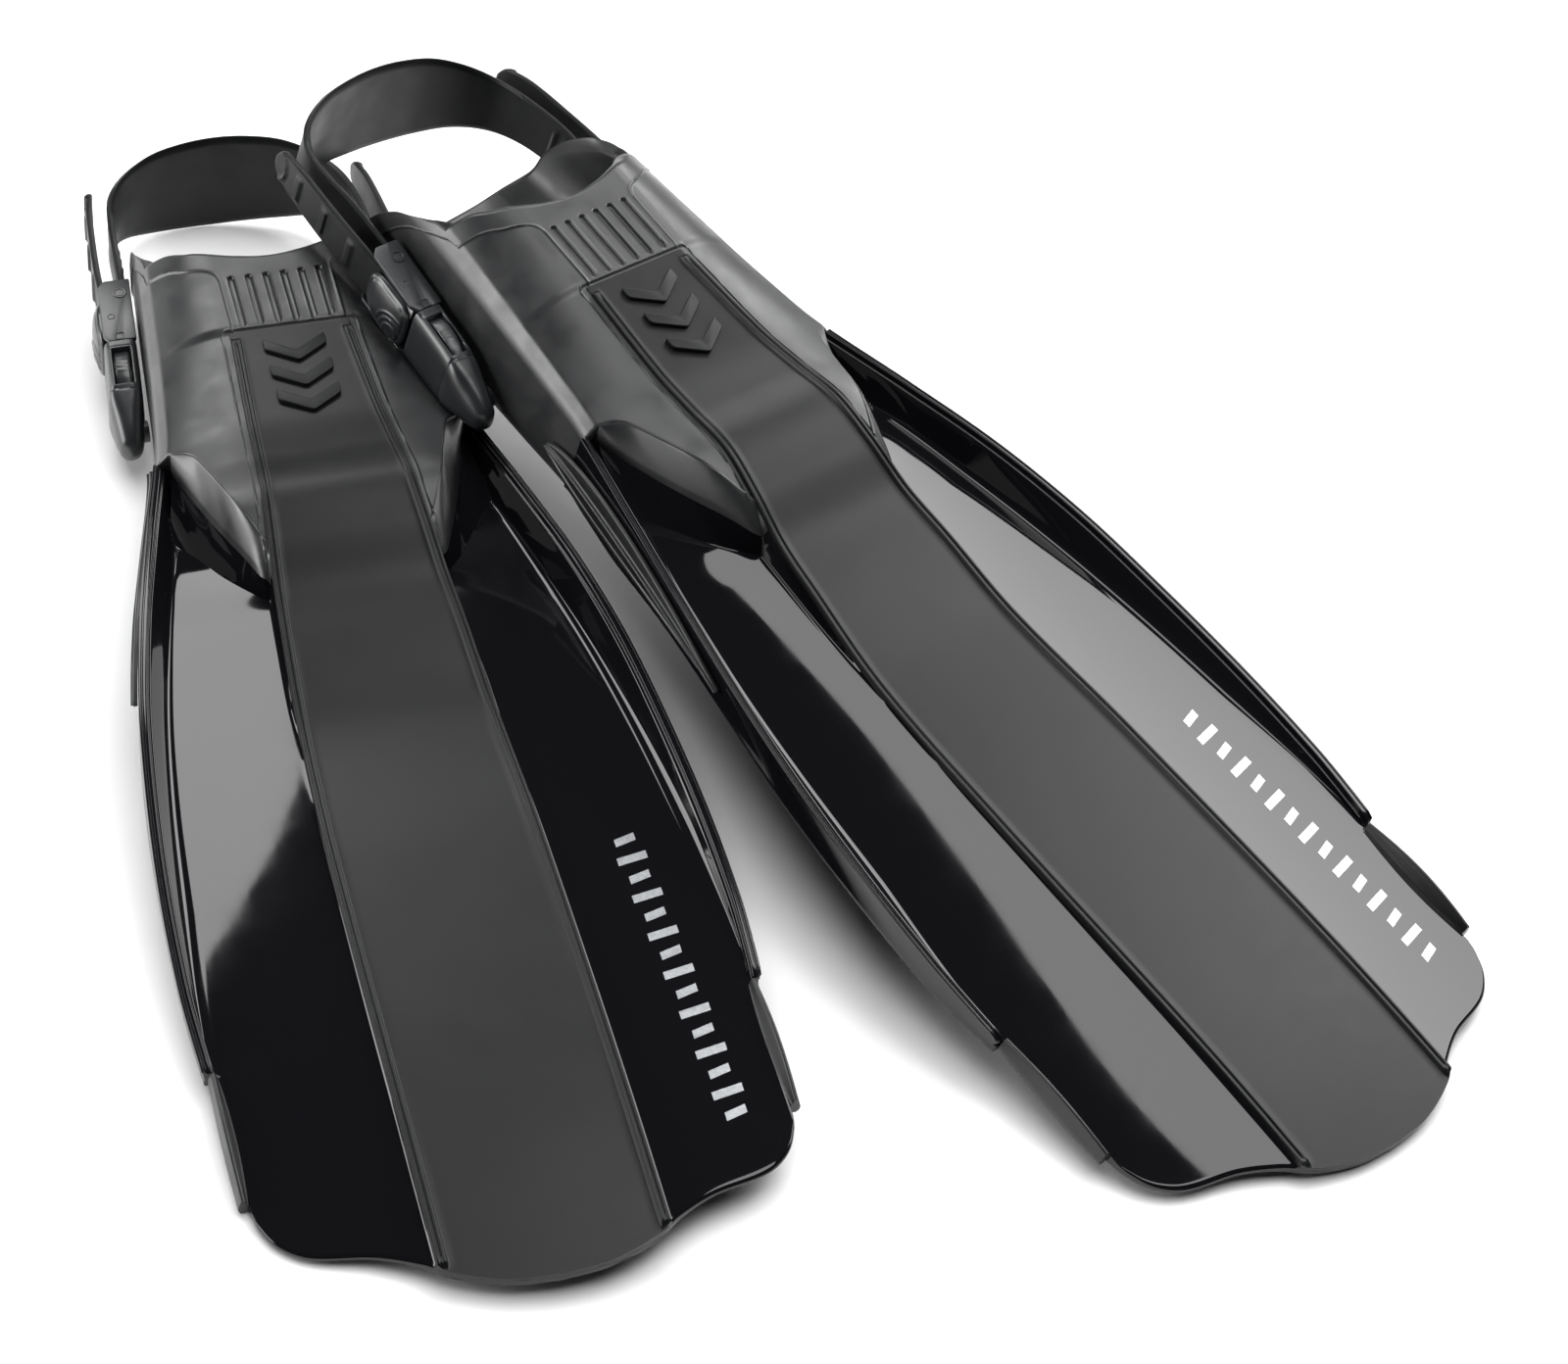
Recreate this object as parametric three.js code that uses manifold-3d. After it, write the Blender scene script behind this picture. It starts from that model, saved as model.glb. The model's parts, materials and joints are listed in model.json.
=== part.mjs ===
// A pair of open-heel swim fins, put down one over the other.
// Millimetres, +Z up. Each fin is built in its own frame first: x across the blade, y from the
// blade's tip towards the heel, z up, with y = 0 where the centre panel's beads end.

import * as THREE from 'three';
import { mergeVertices } from 'three/addons/utils/BufferGeometryUtils.js';
import Module from 'manifold-3d';

const wasm = await Module();
wasm.setup();

// ---------------------------------------------------------------- driving dimensions
const GAP = 0.35; // left between two pieces that touch

// Lines that run along the fin, each as [y, value] knots
const BEAD_X = line([-30, 43], [0, 43], [200, 42], [294, 38.5], [343, 35.3], [392, 31.4], [490, 25.4]);
const BEAD_Z = line([-30, 0], [60, 0], [196, -7], [270, -11], [318, -6.5], [343, -4], [368, 3],
  [392, 7.2], [416, 3.5], [441, 0.4], [490, 0], [545, 0]);
const PANEL_IN_Z = line([-30, -3.6], [60, -3.6], [196, -10.6], [270, -14.6], [318, -11], [343, -11],
  [366, -14], [400, -24], [440, -38]);
const PANEL_OUT_X = line([-30, 108], [98, 109], [147, 107.5], [196, 103], [245, 98.5], [294, 92],
  [343, 82.6], [392, 71.6], [440, 62]);
const PANEL_OUT_Z = line([-30, -9], [50, -10.5], [98, -12], [196, -16], [245, -18], [294, -16],
  [343, -20], [392, -34], [440, -48]);
const UNDER_Z = line([-30, -7], [60, -7.2], [196, -14], [270, -18.5], [318, -18], [343, -25],
  [366, -33], [440, -57]);
const CREST_X = line([100, 112.5], [147, 112.6], [196, 111.4], [245, 107.8], [294, 102], [343, 93],
  [392, 81.5], [441, 69.6], [466, 66.3], [490, 63.8], [545, 58.8], [620, 52]);
const CREST_Z = line([100, -9.5], [147, -8], [245, -7], [294, -6], [343, -7], [392, -11], [441, -16],
  [490, -20], [560, -24], [620, -30]);
const WALL_X = line([100, 112.2], [196, 112.1], [245, 110.9], [294, 106.3], [343, 97.2], [392, 86.5],
  [441, 75.4], [466, 68.3], [490, 64.1], [545, 59.1], [620, 52.5]);
const FOOT_X = line([386, 20], [391, 32], [401, 41], [414, 46.5], [430, 51], [448, 57], [470, 60],
  [490, 59.5], [545, 54.8], [650, 48]);
const SOLE_Z = line([100, -20.5], [147, -24], [245, -22.5], [294, -22], [343, -27], [392, -41],
  [441, -58], [490, -73.5], [545, -87.5], [612, -99]);
const WALL_FOOT_Z = line([343, -27], [392, -40], [441, -56], [490, -67.5], [545, -74], [612, -78]);

// Plan outline of the blade's tip, right half: middle lobe, a shallow step and the outer lobe
const TIP = [[0, -13], [20, -11], [40, -3.6], [50, 4], [66, 12.2], [89, 18.6], [99, 26], [104.5, 36],
  [106.5, 46]];
const SHEET = 3.6; // thickness of the blade's side panels
const CREST = 4; // width of a rail's flat top
const RAIL_END_Y = 109; // the moulded rail stops here and the soft tip rail goes on
const EDGE_X = [111, 112.5]; // the blade's edge where it has no rail, cut back to the tip's outline
const TIP_RAIL = { y: [47, 108.5], inX: 106.5, outX: 109.5, bulge: 3.5, up: 5.5, down: 6, land: 1.5 };
const STRAKE = { y: [300, 450], end: 1, swell: 8, base: 0.6, skin: 2, rib: 3.2 };
const BEAD_WIDTH = 4;
const BEAD_DEPTH = 3.2; // from a bead's top to the centre panel's underside
const PANEL_SINK = 1.6; // the panel's face lies this far below its beads
const PANEL_BED = BEAD_DEPTH + 0.5; // the blade and the pocket carry the panel this far below its beads
const BEAD_GAP = 0.4; // beside a bead
const ARROW = { y: [440, 456, 472], half: 14, sweep: 9, width: 7, root: 3, proud: 0.3 };
const CROWN = 0.1; // how far the middle of a wide face stands proud
const PANEL_END_Y = 494; // heel end of the centre panel
const TOE_Y = 366; // front of the foot pocket, under the centre panel
const SHOULDER_Y = 431.5; // where the pocket's toe edge meets the rails
const RIM_Y = 540; // instep rim at the middle
const RIM_SIDE_Y = 560; // instep rim at its corners
const HEEL_Y = 612;
const INSTEP_Z = -1.2; // the pocket's roof between the slots
const POCKET_X = 90; // clear of the pocket's sides
const WALL = 6; // thickness of the pocket's sole and sides
const ROOF = 7; // from the beads down to the inside of the pocket
const EAR = [[566, -21], [574, -24], [588, -34], [601, -51], [608, -68], [611, -100]];
const THROUGH = [-150, 60]; // heights that reach right through a fin

// Places along the fin where the blade, the centre panel and the foot pocket take their sections
const SPINE = [-30, 60, 106, 110, 147, 196, 245, 280, 310, 330, 343, 354, 366, 380, 392, 404, 420,
  441, 466, 494, 498, 545, 566, 590, 620];
const spine = (from, to) => SPINE.filter((y) => y >= from && y <= to);

const SLOT = { count: 6, pitch: 8.1, width: 3, from: 498, to: 530, depth: 1.3 };

// Buckle, given for the right-hand side, before it is slanted to follow the pocket's side
const BUCKLE = { x: [61, 76], z: [-74, -43], middleY: 547, slant: -0.085 };
const STUD = { y: 497, z: -58.5, radius: 5 };
const NOSE = { tipY: 483.5, windowY: [514.5, 536.5], endY: 541 };
const FRAME = { frontY: 542.4, bridgeY: 548, endY: 581, cheek: 2.5 };
const BAR = { x: 66.2, y: 572, radius: 3 };
const LEVER = { pinX: 71.4, pinY: 557.3, pinRadius: 1.5, y: [543.5, 575] };
const STRAP_THICK = 3;

// Where each fin lies: turned about Z, then tipped about X, then rolled about Y
const LOWER_FIN = { yaw: 0, tip: 7.54, roll: -3.84, at: [0, 0, 0] };
const UPPER_FIN = { yaw: 24.7, tip: 14.57, roll: -0.47, at: [341.7, 5.4, -5.6] };

// ---------------------------------------------------------------- materials
const FINISH = {
  gloss: { color: 0x0b0c0e, roughness: 0.12, metalness: 0 },
  rubber: { color: 0x25272a, roughness: 0.55, metalness: 0 },
  matte: { color: 0x1b1c1e, roughness: 0.7, metalness: 0 },
  satin: { color: 0x17181a, roughness: 0.35, metalness: 0 },
  steel: { color: 0x9a9ca0, roughness: 0.3, metalness: 1 },
};

// ---------------------------------------------------------------- curves and solids
// A smooth function through [place, value] knots, level beyond both ends
function line(...knots) {
  const slope = knots.map((_, i) => {
    const a = knots[Math.max(i - 1, 0)];
    const b = knots[Math.min(i + 1, knots.length - 1)];
    return (b[1] - a[1]) / (b[0] - a[0]);
  });
  return (y) => {
    if (y <= knots[0][0]) return knots[0][1];
    if (y >= knots.at(-1)[0]) return knots.at(-1)[1];
    const i = knots.findIndex((knot) => knot[0] > y) - 1;
    const [y0, v0] = knots[i];
    const [y1, v1] = knots[i + 1];
    const span = y1 - y0;
    const t = (y - y0) / span;
    const rise = v0 + (v1 - v0) * t * t * (3 - 2 * t);
    return rise + span * t * (1 - t) * (slope[i] * (1 - t) - slope[i + 1] * t);
  };
}

// Turns a closed mesh into a manifold solid, its faces pointing out
function solid(geometry) {
  const bare = geometry.clone();
  bare.deleteAttribute('normal');
  bare.deleteAttribute('uv');
  const merged = mergeVertices(bare);
  const vertProperties = new Float32Array(merged.attributes.position.array);
  const triVerts = new Uint32Array(merged.index.array);
  if (signedVolume(vertProperties, triVerts) < 0) triVerts.reverse();
  return new wasm.Manifold(new wasm.Mesh({ numProp: 3, vertProperties, triVerts }));
}

function signedVolume(points, triangles) {
  const corner = (i) => new THREE.Vector3().fromArray(points, 3 * triangles[i]);
  let sum = 0;
  for (let i = 0; i < triangles.length; i += 3) {
    sum += corner(i).dot(corner(i + 1).cross(corner(i + 2)));
  }
  return sum / 6;
}

function geometryOf(manifold) {
  const { vertProperties, triVerts } = manifold.getMesh();
  const geometry = new THREE.BufferGeometry();
  geometry.setAttribute('position', new THREE.BufferAttribute(new Float32Array(vertProperties), 3));
  geometry.setIndex(new THREE.BufferAttribute(new Uint32Array(triVerts), 1));
  return geometry;
}

// A closed skin over rings of points; each ring has the same count, and flat() lays one in a plane
function loft(rings, flat = (p) => new THREE.Vector2(p.x, p.z)) {
  const count = rings[0].length;
  const index = [];
  for (let i = 0; i + 1 < rings.length; i++) {
    for (let j = 0; j < count; j++) {
      const a = i * count + j;
      const b = i * count + ((j + 1) % count);
      index.push(a, b + count, b, a, a + count, b + count);
    }
  }
  const last = (rings.length - 1) * count;
  for (const [offset, ring, turn] of [[0, rings[0], 1], [last, rings.at(-1), -1]]) {
    const outline = ring.map(flat);
    const way = THREE.ShapeUtils.isClockWise(outline) ? -1 : 1;
    for (const [a, b, c] of THREE.ShapeUtils.triangulateShape(outline, [])) {
      const same = THREE.ShapeUtils.area([outline[a], outline[b], outline[c]]) * way * turn > 0;
      index.push(offset + a, offset + (same ? b : c), offset + (same ? c : b));
    }
  }
  const geometry = new THREE.BufferGeometry();
  const points = rings.flat().flatMap((p) => [p.x, p.y, p.z]);
  geometry.setAttribute('position', new THREE.Float32BufferAttribute(points, 3));
  geometry.setIndex(index);
  return solid(geometry);
}

// A whole ring from its right half, given from the middle of the top round to the middle below
function mirrored(half, y) {
  const left = half.slice(1, -1).reverse().map(([x, z]) => [-x, z]);
  return [...half, ...left].map(([x, z]) => new THREE.Vector3(x, y, z));
}

// A symmetric body along the fin; its middle stands CROWN proud, so that no cap has a straight seam
function alongFin(stations, half) {
  return loft(stations.map((y) => {
    const points = half(y);
    points[0][1] += CROWN;
    points.at(-1)[1] -= CROWN;
    return mirrored(points, y);
  }));
}

function block(x, y, z) {
  const box = new THREE.BoxGeometry(x[1] - x[0], y[1] - y[0], z[1] - z[0]);
  return solid(box.translate((x[0] + x[1]) / 2, (y[0] + y[1]) / 2, (z[0] + z[1]) / 2));
}

// A prism that stands along Z on an outline of [x, y] points
function upright(outline, low, high) {
  const shape = new THREE.Shape(outline.map(([x, y]) => new THREE.Vector2(x, y)));
  const prism = new THREE.ExtrudeGeometry(shape, { depth: high - low, bevelEnabled: false });
  return solid(prism.translate(0, 0, low));
}

// A prism that lies along X on an outline of [y, z] points
function crosswise(outline, from, to) {
  const shape = new THREE.Shape(outline.map(([y, z]) => new THREE.Vector2(y, z)));
  const prism = new THREE.ExtrudeGeometry(shape, { depth: to - from, bevelEnabled: false });
  const turn = new THREE.Matrix4().makeBasis(
    new THREE.Vector3(0, 1, 0), new THREE.Vector3(0, 0, 1), new THREE.Vector3(1, 0, 0));
  return solid(prism.applyMatrix4(turn).translate(from, 0, 0));
}

function rod(axis, radius, at, length) {
  const cylinder = new THREE.CylinderGeometry(radius, radius, length, 20);
  if (axis === 'x') cylinder.rotateZ(Math.PI / 2);
  if (axis === 'z') cylinder.rotateX(Math.PI / 2);
  return solid(cylinder.translate(...at));
}

// Slants a buckle piece so that it follows the narrowing side of the foot pocket
function slanted(manifold) {
  const slant = new THREE.Matrix4().set(
    1, BUCKLE.slant, 0, -BUCKLE.slant * BUCKLE.middleY, 0, 1, 0, 0, 0, 0, 1, 0, 0, 0, 0, 1);
  return solid(geometryOf(manifold).applyMatrix4(slant));
}

function piece(name, manifold, finish) {
  const mesh = new THREE.Mesh(geometryOf(manifold), new THREE.MeshStandardMaterial(FINISH[finish]));
  mesh.name = name;
  return mesh;
}

// ---------------------------------------------------------------- blade
// Plan outline of the blade's free end, open towards the heel
function tipOutline() {
  const knots = TIP.map(([x, y]) => new THREE.Vector3(x, y, 0));
  const right = new THREE.CatmullRomCurve3(knots).getPoints(3 * (TIP.length - 1)).map((p) => [p.x, p.y]);
  const left = right.slice(1).reverse().map(([x, y]) => [-x, y]);
  const shoulder = RAIL_END_Y - 0.2;
  const railLess = [[TIP_RAIL.inX, shoulder], [125, shoulder], [125, 520]];
  return [...left, ...right, ...railLess, ...railLess.slice().reverse().map(([x, y]) => [-x, y])];
}

// Plan outline of the foot pocket, moved outwards by a clearance
function pocketOutline(clear) {
  const toe = [[35.6, TOE_Y], [41, 379], [46.5, 394], [51, 411], [56.5, 425], [66, SHOULDER_Y],
    [POCKET_X, SHOULDER_Y]].map(([x, y]) => [x + clear, y - clear]);
  const heel = [];
  for (let i = 0; i <= 6; i++) {
    const turn = (Math.PI / 2) * (i / 6);
    heel.push([0.75 * POCKET_X * Math.cos(turn),
      RIM_SIDE_Y + (HEEL_Y - RIM_SIDE_Y) * Math.sin(turn)]);
  }
  const right = [...toe, [POCKET_X, RIM_SIDE_Y - 5], ...heel];
  return [...right, ...right.slice(0, -1).reverse().map(([x, y]) => [-x, y])];
}

function bladeHalf(y) {
  const bead = BEAD_X(y) + BEAD_WIDTH / 2;
  const base = BEAD_Z(y) - PANEL_BED;
  const hasRail = y > RAIL_END_Y;
  const outX = PANEL_OUT_X(y);
  const outZ = PANEL_OUT_Z(y);
  const crestX = hasRail ? CREST_X(y) : EDGE_X[0];
  const crestZ = hasRail ? CREST_Z(y) : outZ;
  const wallX = hasRail ? WALL_X(y) + 1 : EDGE_X[1];
  const wallZ = hasRail ? SOLE_Z(y) : outZ - SHEET;
  const under = Math.min(UNDER_Z(y), outZ - SHEET + (BEAD_Z(y) - outZ) * 0.5);
  return [
    [0, base], [bead + BEAD_GAP, base], [bead + 3 * BEAD_GAP, Math.min(base - 0.1, PANEL_IN_Z(y))],
    [outX, outZ], [crestX - CREST / 2, crestZ], [crestX + CREST / 2 - 0.4, crestZ],
    [wallX, wallZ], [wallX - 5, wallZ - 0.01],
    [outX - 1, Math.max(wallZ, outZ - SHEET)], [bead + 1, under], [0, under],
  ];
}

function blade() {
  const whole = alongFin(spine(-30, 441), bladeHalf).intersect(upright(tipOutline(), ...THROUGH));
  return whole.subtract(upright(pocketOutline(GAP), ...THROUGH));
}

// The soft rail that carries on from a moulded rail to the tip, thickest a third of the way along
function tipRail() {
  const { y: [from, to], inX, outX, bulge, up, down, land } = TIP_RAIL;
  const rings = [];
  for (let i = 0; i <= 8; i++) {
    const t = i / 8;
    const y = from + (to - from) * t;
    const swell = 0.35 + 0.65 * Math.sin(Math.PI * (0.12 + 0.8 * t));
    const middle = PANEL_OUT_Z(y) - SHEET / 2;
    const outer = outX + bulge * swell;
    const inner = inX + GAP;
    rings.push([[inner, middle + up * swell], [outer - land, middle + up * swell],
      [outer, middle + up / 3], [outer, middle - down / 2], [outer - land, middle - down * swell],
      [inner, middle - down * swell]].map(([x, z]) => new THREE.Vector3(x, y, z)));
  }
  return loft(rings);
}

// A leaf-shaped rubber strip with a rib along its middle, on the outside of a rail
function strake() {
  const { y: [from, to], end, swell, base, skin, rib } = STRAKE;
  const rings = [];
  for (let i = 0; i <= 10; i++) {
    const t = i / 10;
    const y = from + (to - from) * t;
    const half = end + swell * Math.sin(Math.PI * t) ** 0.7;
    const top = new THREE.Vector2(CREST_X(y) + CREST / 2 - 0.4, CREST_Z(y));
    const foot = new THREE.Vector2(WALL_X(y) + 1, SOLE_Z(y));
    const down = foot.clone().sub(top);
    const out = new THREE.Vector2(-down.y, down.x).normalize();
    const centre = top.clone().addScaledVector(down, 0.5);
    down.normalize();
    const at = (along, off) => {
      const p = centre.clone().addScaledVector(down, along * half).addScaledVector(out, off);
      return new THREE.Vector3(p.x, y, p.y);
    };
    rings.push([at(-1, base), at(-0.9, 0.9 * skin), at(-0.15, skin), at(0, rib), at(0.15, skin),
      at(0.9, 0.9 * skin), at(1, base)]);
  }
  return loft(rings);
}

// The matte strip down the middle, with a bead along each edge and raised arrow bars on the instep
function centrePanel() {
  const half = (y) => {
    const x = BEAD_X(y);
    const z = BEAD_Z(y);
    const edge = BEAD_WIDTH / 2;
    const face = z - PANEL_SINK;
    return [[0, face], [x - edge - 0.5, face], [x - edge + 0.3, z], [x + edge - 0.3, z],
      [x + edge, z - BEAD_DEPTH], [0, z - BEAD_DEPTH]];
  };
  const strip = alongFin(spine(-30, PANEL_END_Y), half).intersect(upright(tipOutline(), ...THROUGH));
  return ARROW.y.reduce((panel, y) => panel.add(arrowBar(y)), strip);
}

function arrowBar(y) {
  const { half, sweep, width, root, proud } = ARROW;
  const back = y + sweep + width;
  const outline = [[0, y], [half, y + sweep], [half, back], [0, y + width], [-half, back],
    [-half, y + sweep]];
  return upright(outline, BEAD_Z(back) - root, BEAD_Z(y) + proud);
}

// ---------------------------------------------------------------- foot pocket
function pocketHalf(y) {
  const top = y <= PANEL_END_Y ? BEAD_Z(y) - PANEL_BED : INSTEP_Z;
  const bead = BEAD_X(y) + BEAD_WIDTH / 2 + BEAD_GAP;
  const crestX = CREST_X(y);
  const crestZ = CREST_Z(y);
  const wallX = WALL_X(y);
  const foot = WALL_FOOT_Z(y);
  const sole = SOLE_Z(y);
  const roofX = (bead + crestX) / 2;
  const roofZ = crestZ * 0.5 - 1.5;
  return [[0, top], [bead, top], [bead + 2, Math.max(top, -1.4)], [roofX, roofZ],
    [crestX - 5, crestZ * 0.75 + 1], [crestX, crestZ], [crestX * 0.85 + wallX * 0.15, crestZ - 6],
    [wallX, foot + 1.5 * WALL], [wallX - 5, foot], [wallX * 0.6, foot * 0.35 + sole * 0.65], [0, sole]];
}

function footHalf(y) {
  const wide = FOOT_X(y);
  const roof = Math.min(BEAD_Z(y), 2) - ROOF;
  const floor = SOLE_Z(y) + WALL;
  const side = WALL_FOOT_Z(y) + WALL;
  const high = roof - side;
  return [[0, roof], [wide * 0.5, roof - 1.5], [wide * 0.8, roof - 0.16 * high],
    [wide, roof - 0.4 * high], [wide, side + 0.2 * high], [wide - WALL, side],
    [wide * 0.55, side * 0.35 + floor * 0.65], [0, floor]];
}

// Everything above the rim and behind the ears is cut away
function heelOpening() {
  const wide = POCKET_X - 26;
  const behind = HEEL_Y + 28;
  const above = 20;
  const rim = [];
  for (let i = -6; i <= 6; i++) {
    const x = (wide * i) / 6;
    rim.push([x, RIM_Y + (RIM_SIDE_Y - RIM_Y) * (x / 56) ** 2]);
  }
  const instep = upright([...rim, [wide, behind], [-wide, behind]], -26, above);
  const lowest = EAR.at(-1)[1];
  const ear = [[EAR[0][0], above], ...EAR, [behind, lowest], [behind, above]];
  return instep.add(crosswise(ear, -POCKET_X, POCKET_X));
}

function slots() {
  const width = (SLOT.count - 1) * SLOT.pitch;
  const cutters = [];
  for (let i = 0; i < SLOT.count; i++) {
    const x = -width / 2 + i * SLOT.pitch;
    cutters.push(block([x - SLOT.width / 2, x + SLOT.width / 2], [SLOT.from, SLOT.to],
      [INSTEP_Z - SLOT.depth, 5]));
  }
  return cutters.reduce((all, cutter) => all.add(cutter));
}

function footPocket() {
  const inside = [386, 391, 401, 414, 430, 448, 470, 490, 545, 590, 650];
  const shell = alongFin(spine(354, 620), pocketHalf).intersect(upright(pocketOutline(0), ...THROUGH));
  return shell.subtract(alongFin(inside, footHalf)).subtract(heelOpening()).subtract(slots());
}

// ---------------------------------------------------------------- buckle, right-hand side
const middleOf = ([low, high]) => (low + high) / 2;

function noseHousing() {
  const section = (y, x, z, round) => {
    const [x0, x1] = x;
    const [z0, z1] = z;
    return [[x0, z0 + round], [x0, z1 - round], [x0 + round, z1], [x1 - round, z1],
      [x1, z1 - round], [x1, z0 + round], [x1 - round, z0], [x0 + round, z0]]
      .map(([px, pz]) => new THREE.Vector3(px, y, pz));
  };
  const outside = loft([
    section(NOSE.tipY, [65, 72], [-64, -56], 2.5), section(488, [63, 75], [-66, -51], 3.5),
    section(500, [61.3, 77], [-69, -46.5], 4.5), section(514, BUCKLE.x, [-71, -43], 4),
    section(NOSE.endY, BUCKLE.x, [-72.5, -43], 3),
  ]);
  const hollow = block([64, 74], [512, 560], [-68.5, -47]);
  const windows = block([64.5, 73], NOSE.windowY, [-90, -30]);
  const bore = rod('x', STUD.radius + GAP, [58.8, STUD.y, STUD.z], 20);
  return slanted(outside.subtract(hollow).subtract(windows)).subtract(bore);
}

// The stub on the pocket's side that the buckle swivels on
const swivelStud = () => rod('x', STUD.radius, [66.4, STUD.y, STUD.z], 4);

// A press tab in the upper (way = 1) or lower (way = -1) window of the nose
function releaseTab(way) {
  const middle = STUD.z;
  const high = way > 0 ? BUCKLE.z[1] - middle : middle + 71;
  const [from, to] = NOSE.windowY;
  const side = [[from + 0.5, high - 6.5], [from + 0.5, high - 2.5], [from + 5, high - 0.5],
    [to - 7, high + 0.3], [to - 0.5, high - 1.5], [to - 0.5, high - 6.5]];
  return slanted(crosswise(side.map(([y, z]) => [y, middle + way * z]), 65, 72.4));
}

// The two cheeks, the bridge between them and the tongue that plugs into the nose
function strapFrame() {
  const [low, high] = BUCKLE.z;
  const cheeks = [[low, low + FRAME.cheek], [high - FRAME.cheek, high]]
    .map((z) => block(BUCKLE.x, [FRAME.bridgeY - 1, FRAME.endY], z));
  const bridge = block([61.5, 71], [FRAME.frontY, FRAME.bridgeY], BUCKLE.z);
  const tongue = block([65, 69.2], [515, FRAME.frontY + 1], [-61.4, -52.6]);
  return slanted([...cheeks, bridge, tongue].reduce((all, part) => all.add(part)));
}

const insideCheeks = BUCKLE.z[1] - BUCKLE.z[0] - 2 * (FRAME.cheek + GAP);

const strapBar = () => rod('z', BAR.radius, [BAR.x, BAR.y, middleOf(BUCKLE.z)], insideCheeks);

const leverPin = () =>
  rod('z', LEVER.pinRadius, [LEVER.pinX, LEVER.pinY, middleOf(BUCKLE.z)], insideCheeks);

// The thumb lever on the outside, which rocks on its pin to let the strap's tail go
function lockLever() {
  const [front, back] = LEVER.y;
  const middle = middleOf(BUCKLE.z);
  const plan = [[75.6, front], [78.6, front + 1.5], [79.8, front + 12], [78.4, back - 6],
    [76.4, back], [75.6, back]];
  const face = crosswise([[front, middle - 8], [front, middle + 8], [front + 6, middle + 12],
    [back - 4, middle + 12], [back, middle + 9], [back, middle - 9], [back - 4, middle - 12],
    [front + 6, middle - 12]], 60, 90);
  const plate = upright(plan, -90, -30).intersect(face);
  const boss = block([69.6, 76.5], [LEVER.pinY - 3.2, LEVER.pinY + 3.2], [middle - 9, middle + 9]);
  const bore = rod('z', LEVER.pinRadius + GAP, [LEVER.pinX, LEVER.pinY, middle], 40);
  return slanted(plate.add(boss)).subtract(bore);
}

// ---------------------------------------------------------------- strap
// Right half of the strap: its middle line in plan with its top and bottom edge, tail end first
function strapHalf() {
  const rows = [
    [64.2, 658, -60, -68], [64.9, 653, -55.5, -71], [67, 640, -51.5, -72], [69.5, 615, -49, -71],
    [71.2, 590, -47, -70],
  ];
  for (let i = 0; i <= 5; i++) {
    const turn = (Math.PI * i) / 5;
    const radius = BAR.radius + 0.3 + STRAP_THICK / 2;
    rows.push([BAR.x + radius * Math.cos(turn), BAR.y - radius * Math.sin(turn), -47, -70]);
  }
  rows.push([60.8, 590, -47, -70.5], [59.8, 612, -47.6, -74], [58, 633, -51, -80],
    [54.5, 650, -54, -88], [46, 663, -54, -95.5], [32, 671.5, -51.5, -102],
    [16, 675.3, -50, -104.8], [0, 676.5, -49.5, -105.8]);
  return rows;
}

function heelStrap() {
  const right = strapHalf();
  const left = right.slice(0, -1).reverse().map(([x, ...rest]) => [-x, ...rest]);
  const rows = [...right, ...left];
  const rings = rows.map(([x, y, top, bottom], i) => {
    const before = rows[Math.max(i - 1, 0)];
    const after = rows[Math.min(i + 1, rows.length - 1)];
    const way = new THREE.Vector2(after[0] - before[0], after[1] - before[1]).normalize();
    const side = new THREE.Vector2(way.y, -way.x).multiplyScalar(STRAP_THICK / 2);
    return [[1, top], [1, bottom], [-1, bottom], [-1, top]]
      .map(([sign, z]) => new THREE.Vector3(x + sign * side.x, y + sign * side.y, z));
  });
  return loft(rings, (p) => new THREE.Vector2(p.x, p.z));
}

// ---------------------------------------------------------------- a fin and the pair
function fin(name, place) {
  const group = new THREE.Group();
  group.add(
    piece(`${name}_blade`, blade(), 'gloss'),
    piece(`${name}_foot_pocket`, footPocket(), 'rubber'),
    piece(`${name}_centre_panel`, centrePanel(), 'matte'),
    piece(`${name}_heel_strap`, heelStrap(), 'rubber'),
  );
  for (const [side, sign] of [['left', -1], ['right', 1]]) {
    const half = new THREE.Group();
    half.scale.x = sign;
    const add = (part, manifold, finish) =>
      half.add(piece(`${name}_${part}_${side}`, manifold, finish));
    add('tip_rail', tipRail(), 'rubber');
    add('strake', strake(), 'rubber');
    add('swivel_stud', swivelStud(), 'satin');
    add('buckle_nose', noseHousing(), 'satin');
    add('release_tab_upper', releaseTab(1), 'satin');
    add('release_tab_lower', releaseTab(-1), 'satin');
    add('strap_frame', strapFrame(), 'satin');
    add('strap_bar', strapBar(), 'steel');
    add('lock_lever', lockLever(), 'satin');
    add('lever_pin', leverPin(), 'steel');
    group.add(half);
  }
  const rad = THREE.MathUtils.degToRad;
  group.rotation.set(rad(place.tip), rad(place.roll), rad(place.yaw), 'ZXY');
  group.position.set(...place.at);
  return group;
}

const pair = new THREE.Group();
pair.add(fin('lower', LOWER_FIN), fin('upper', UPPER_FIN));

// The frame's origin is on the floor, under the middle of the pair's box
pair.updateMatrixWorld(true);
const extent = new THREE.Box3().setFromObject(pair, true);
const centre = extent.getCenter(new THREE.Vector3());
pair.position.set(-centre.x, -centre.y, -extent.min.z);

export default pair;
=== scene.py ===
"""Looks of a pair of open-heel swim fins.

Every piece is first built in its fin's own frame, in millimetres: x across the blade, y from the
blade's tip towards the heel, z up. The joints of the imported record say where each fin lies.
"""

import json

import bmesh
import bpy
import numpy as np
from mathutils import Matrix, Vector


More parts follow.
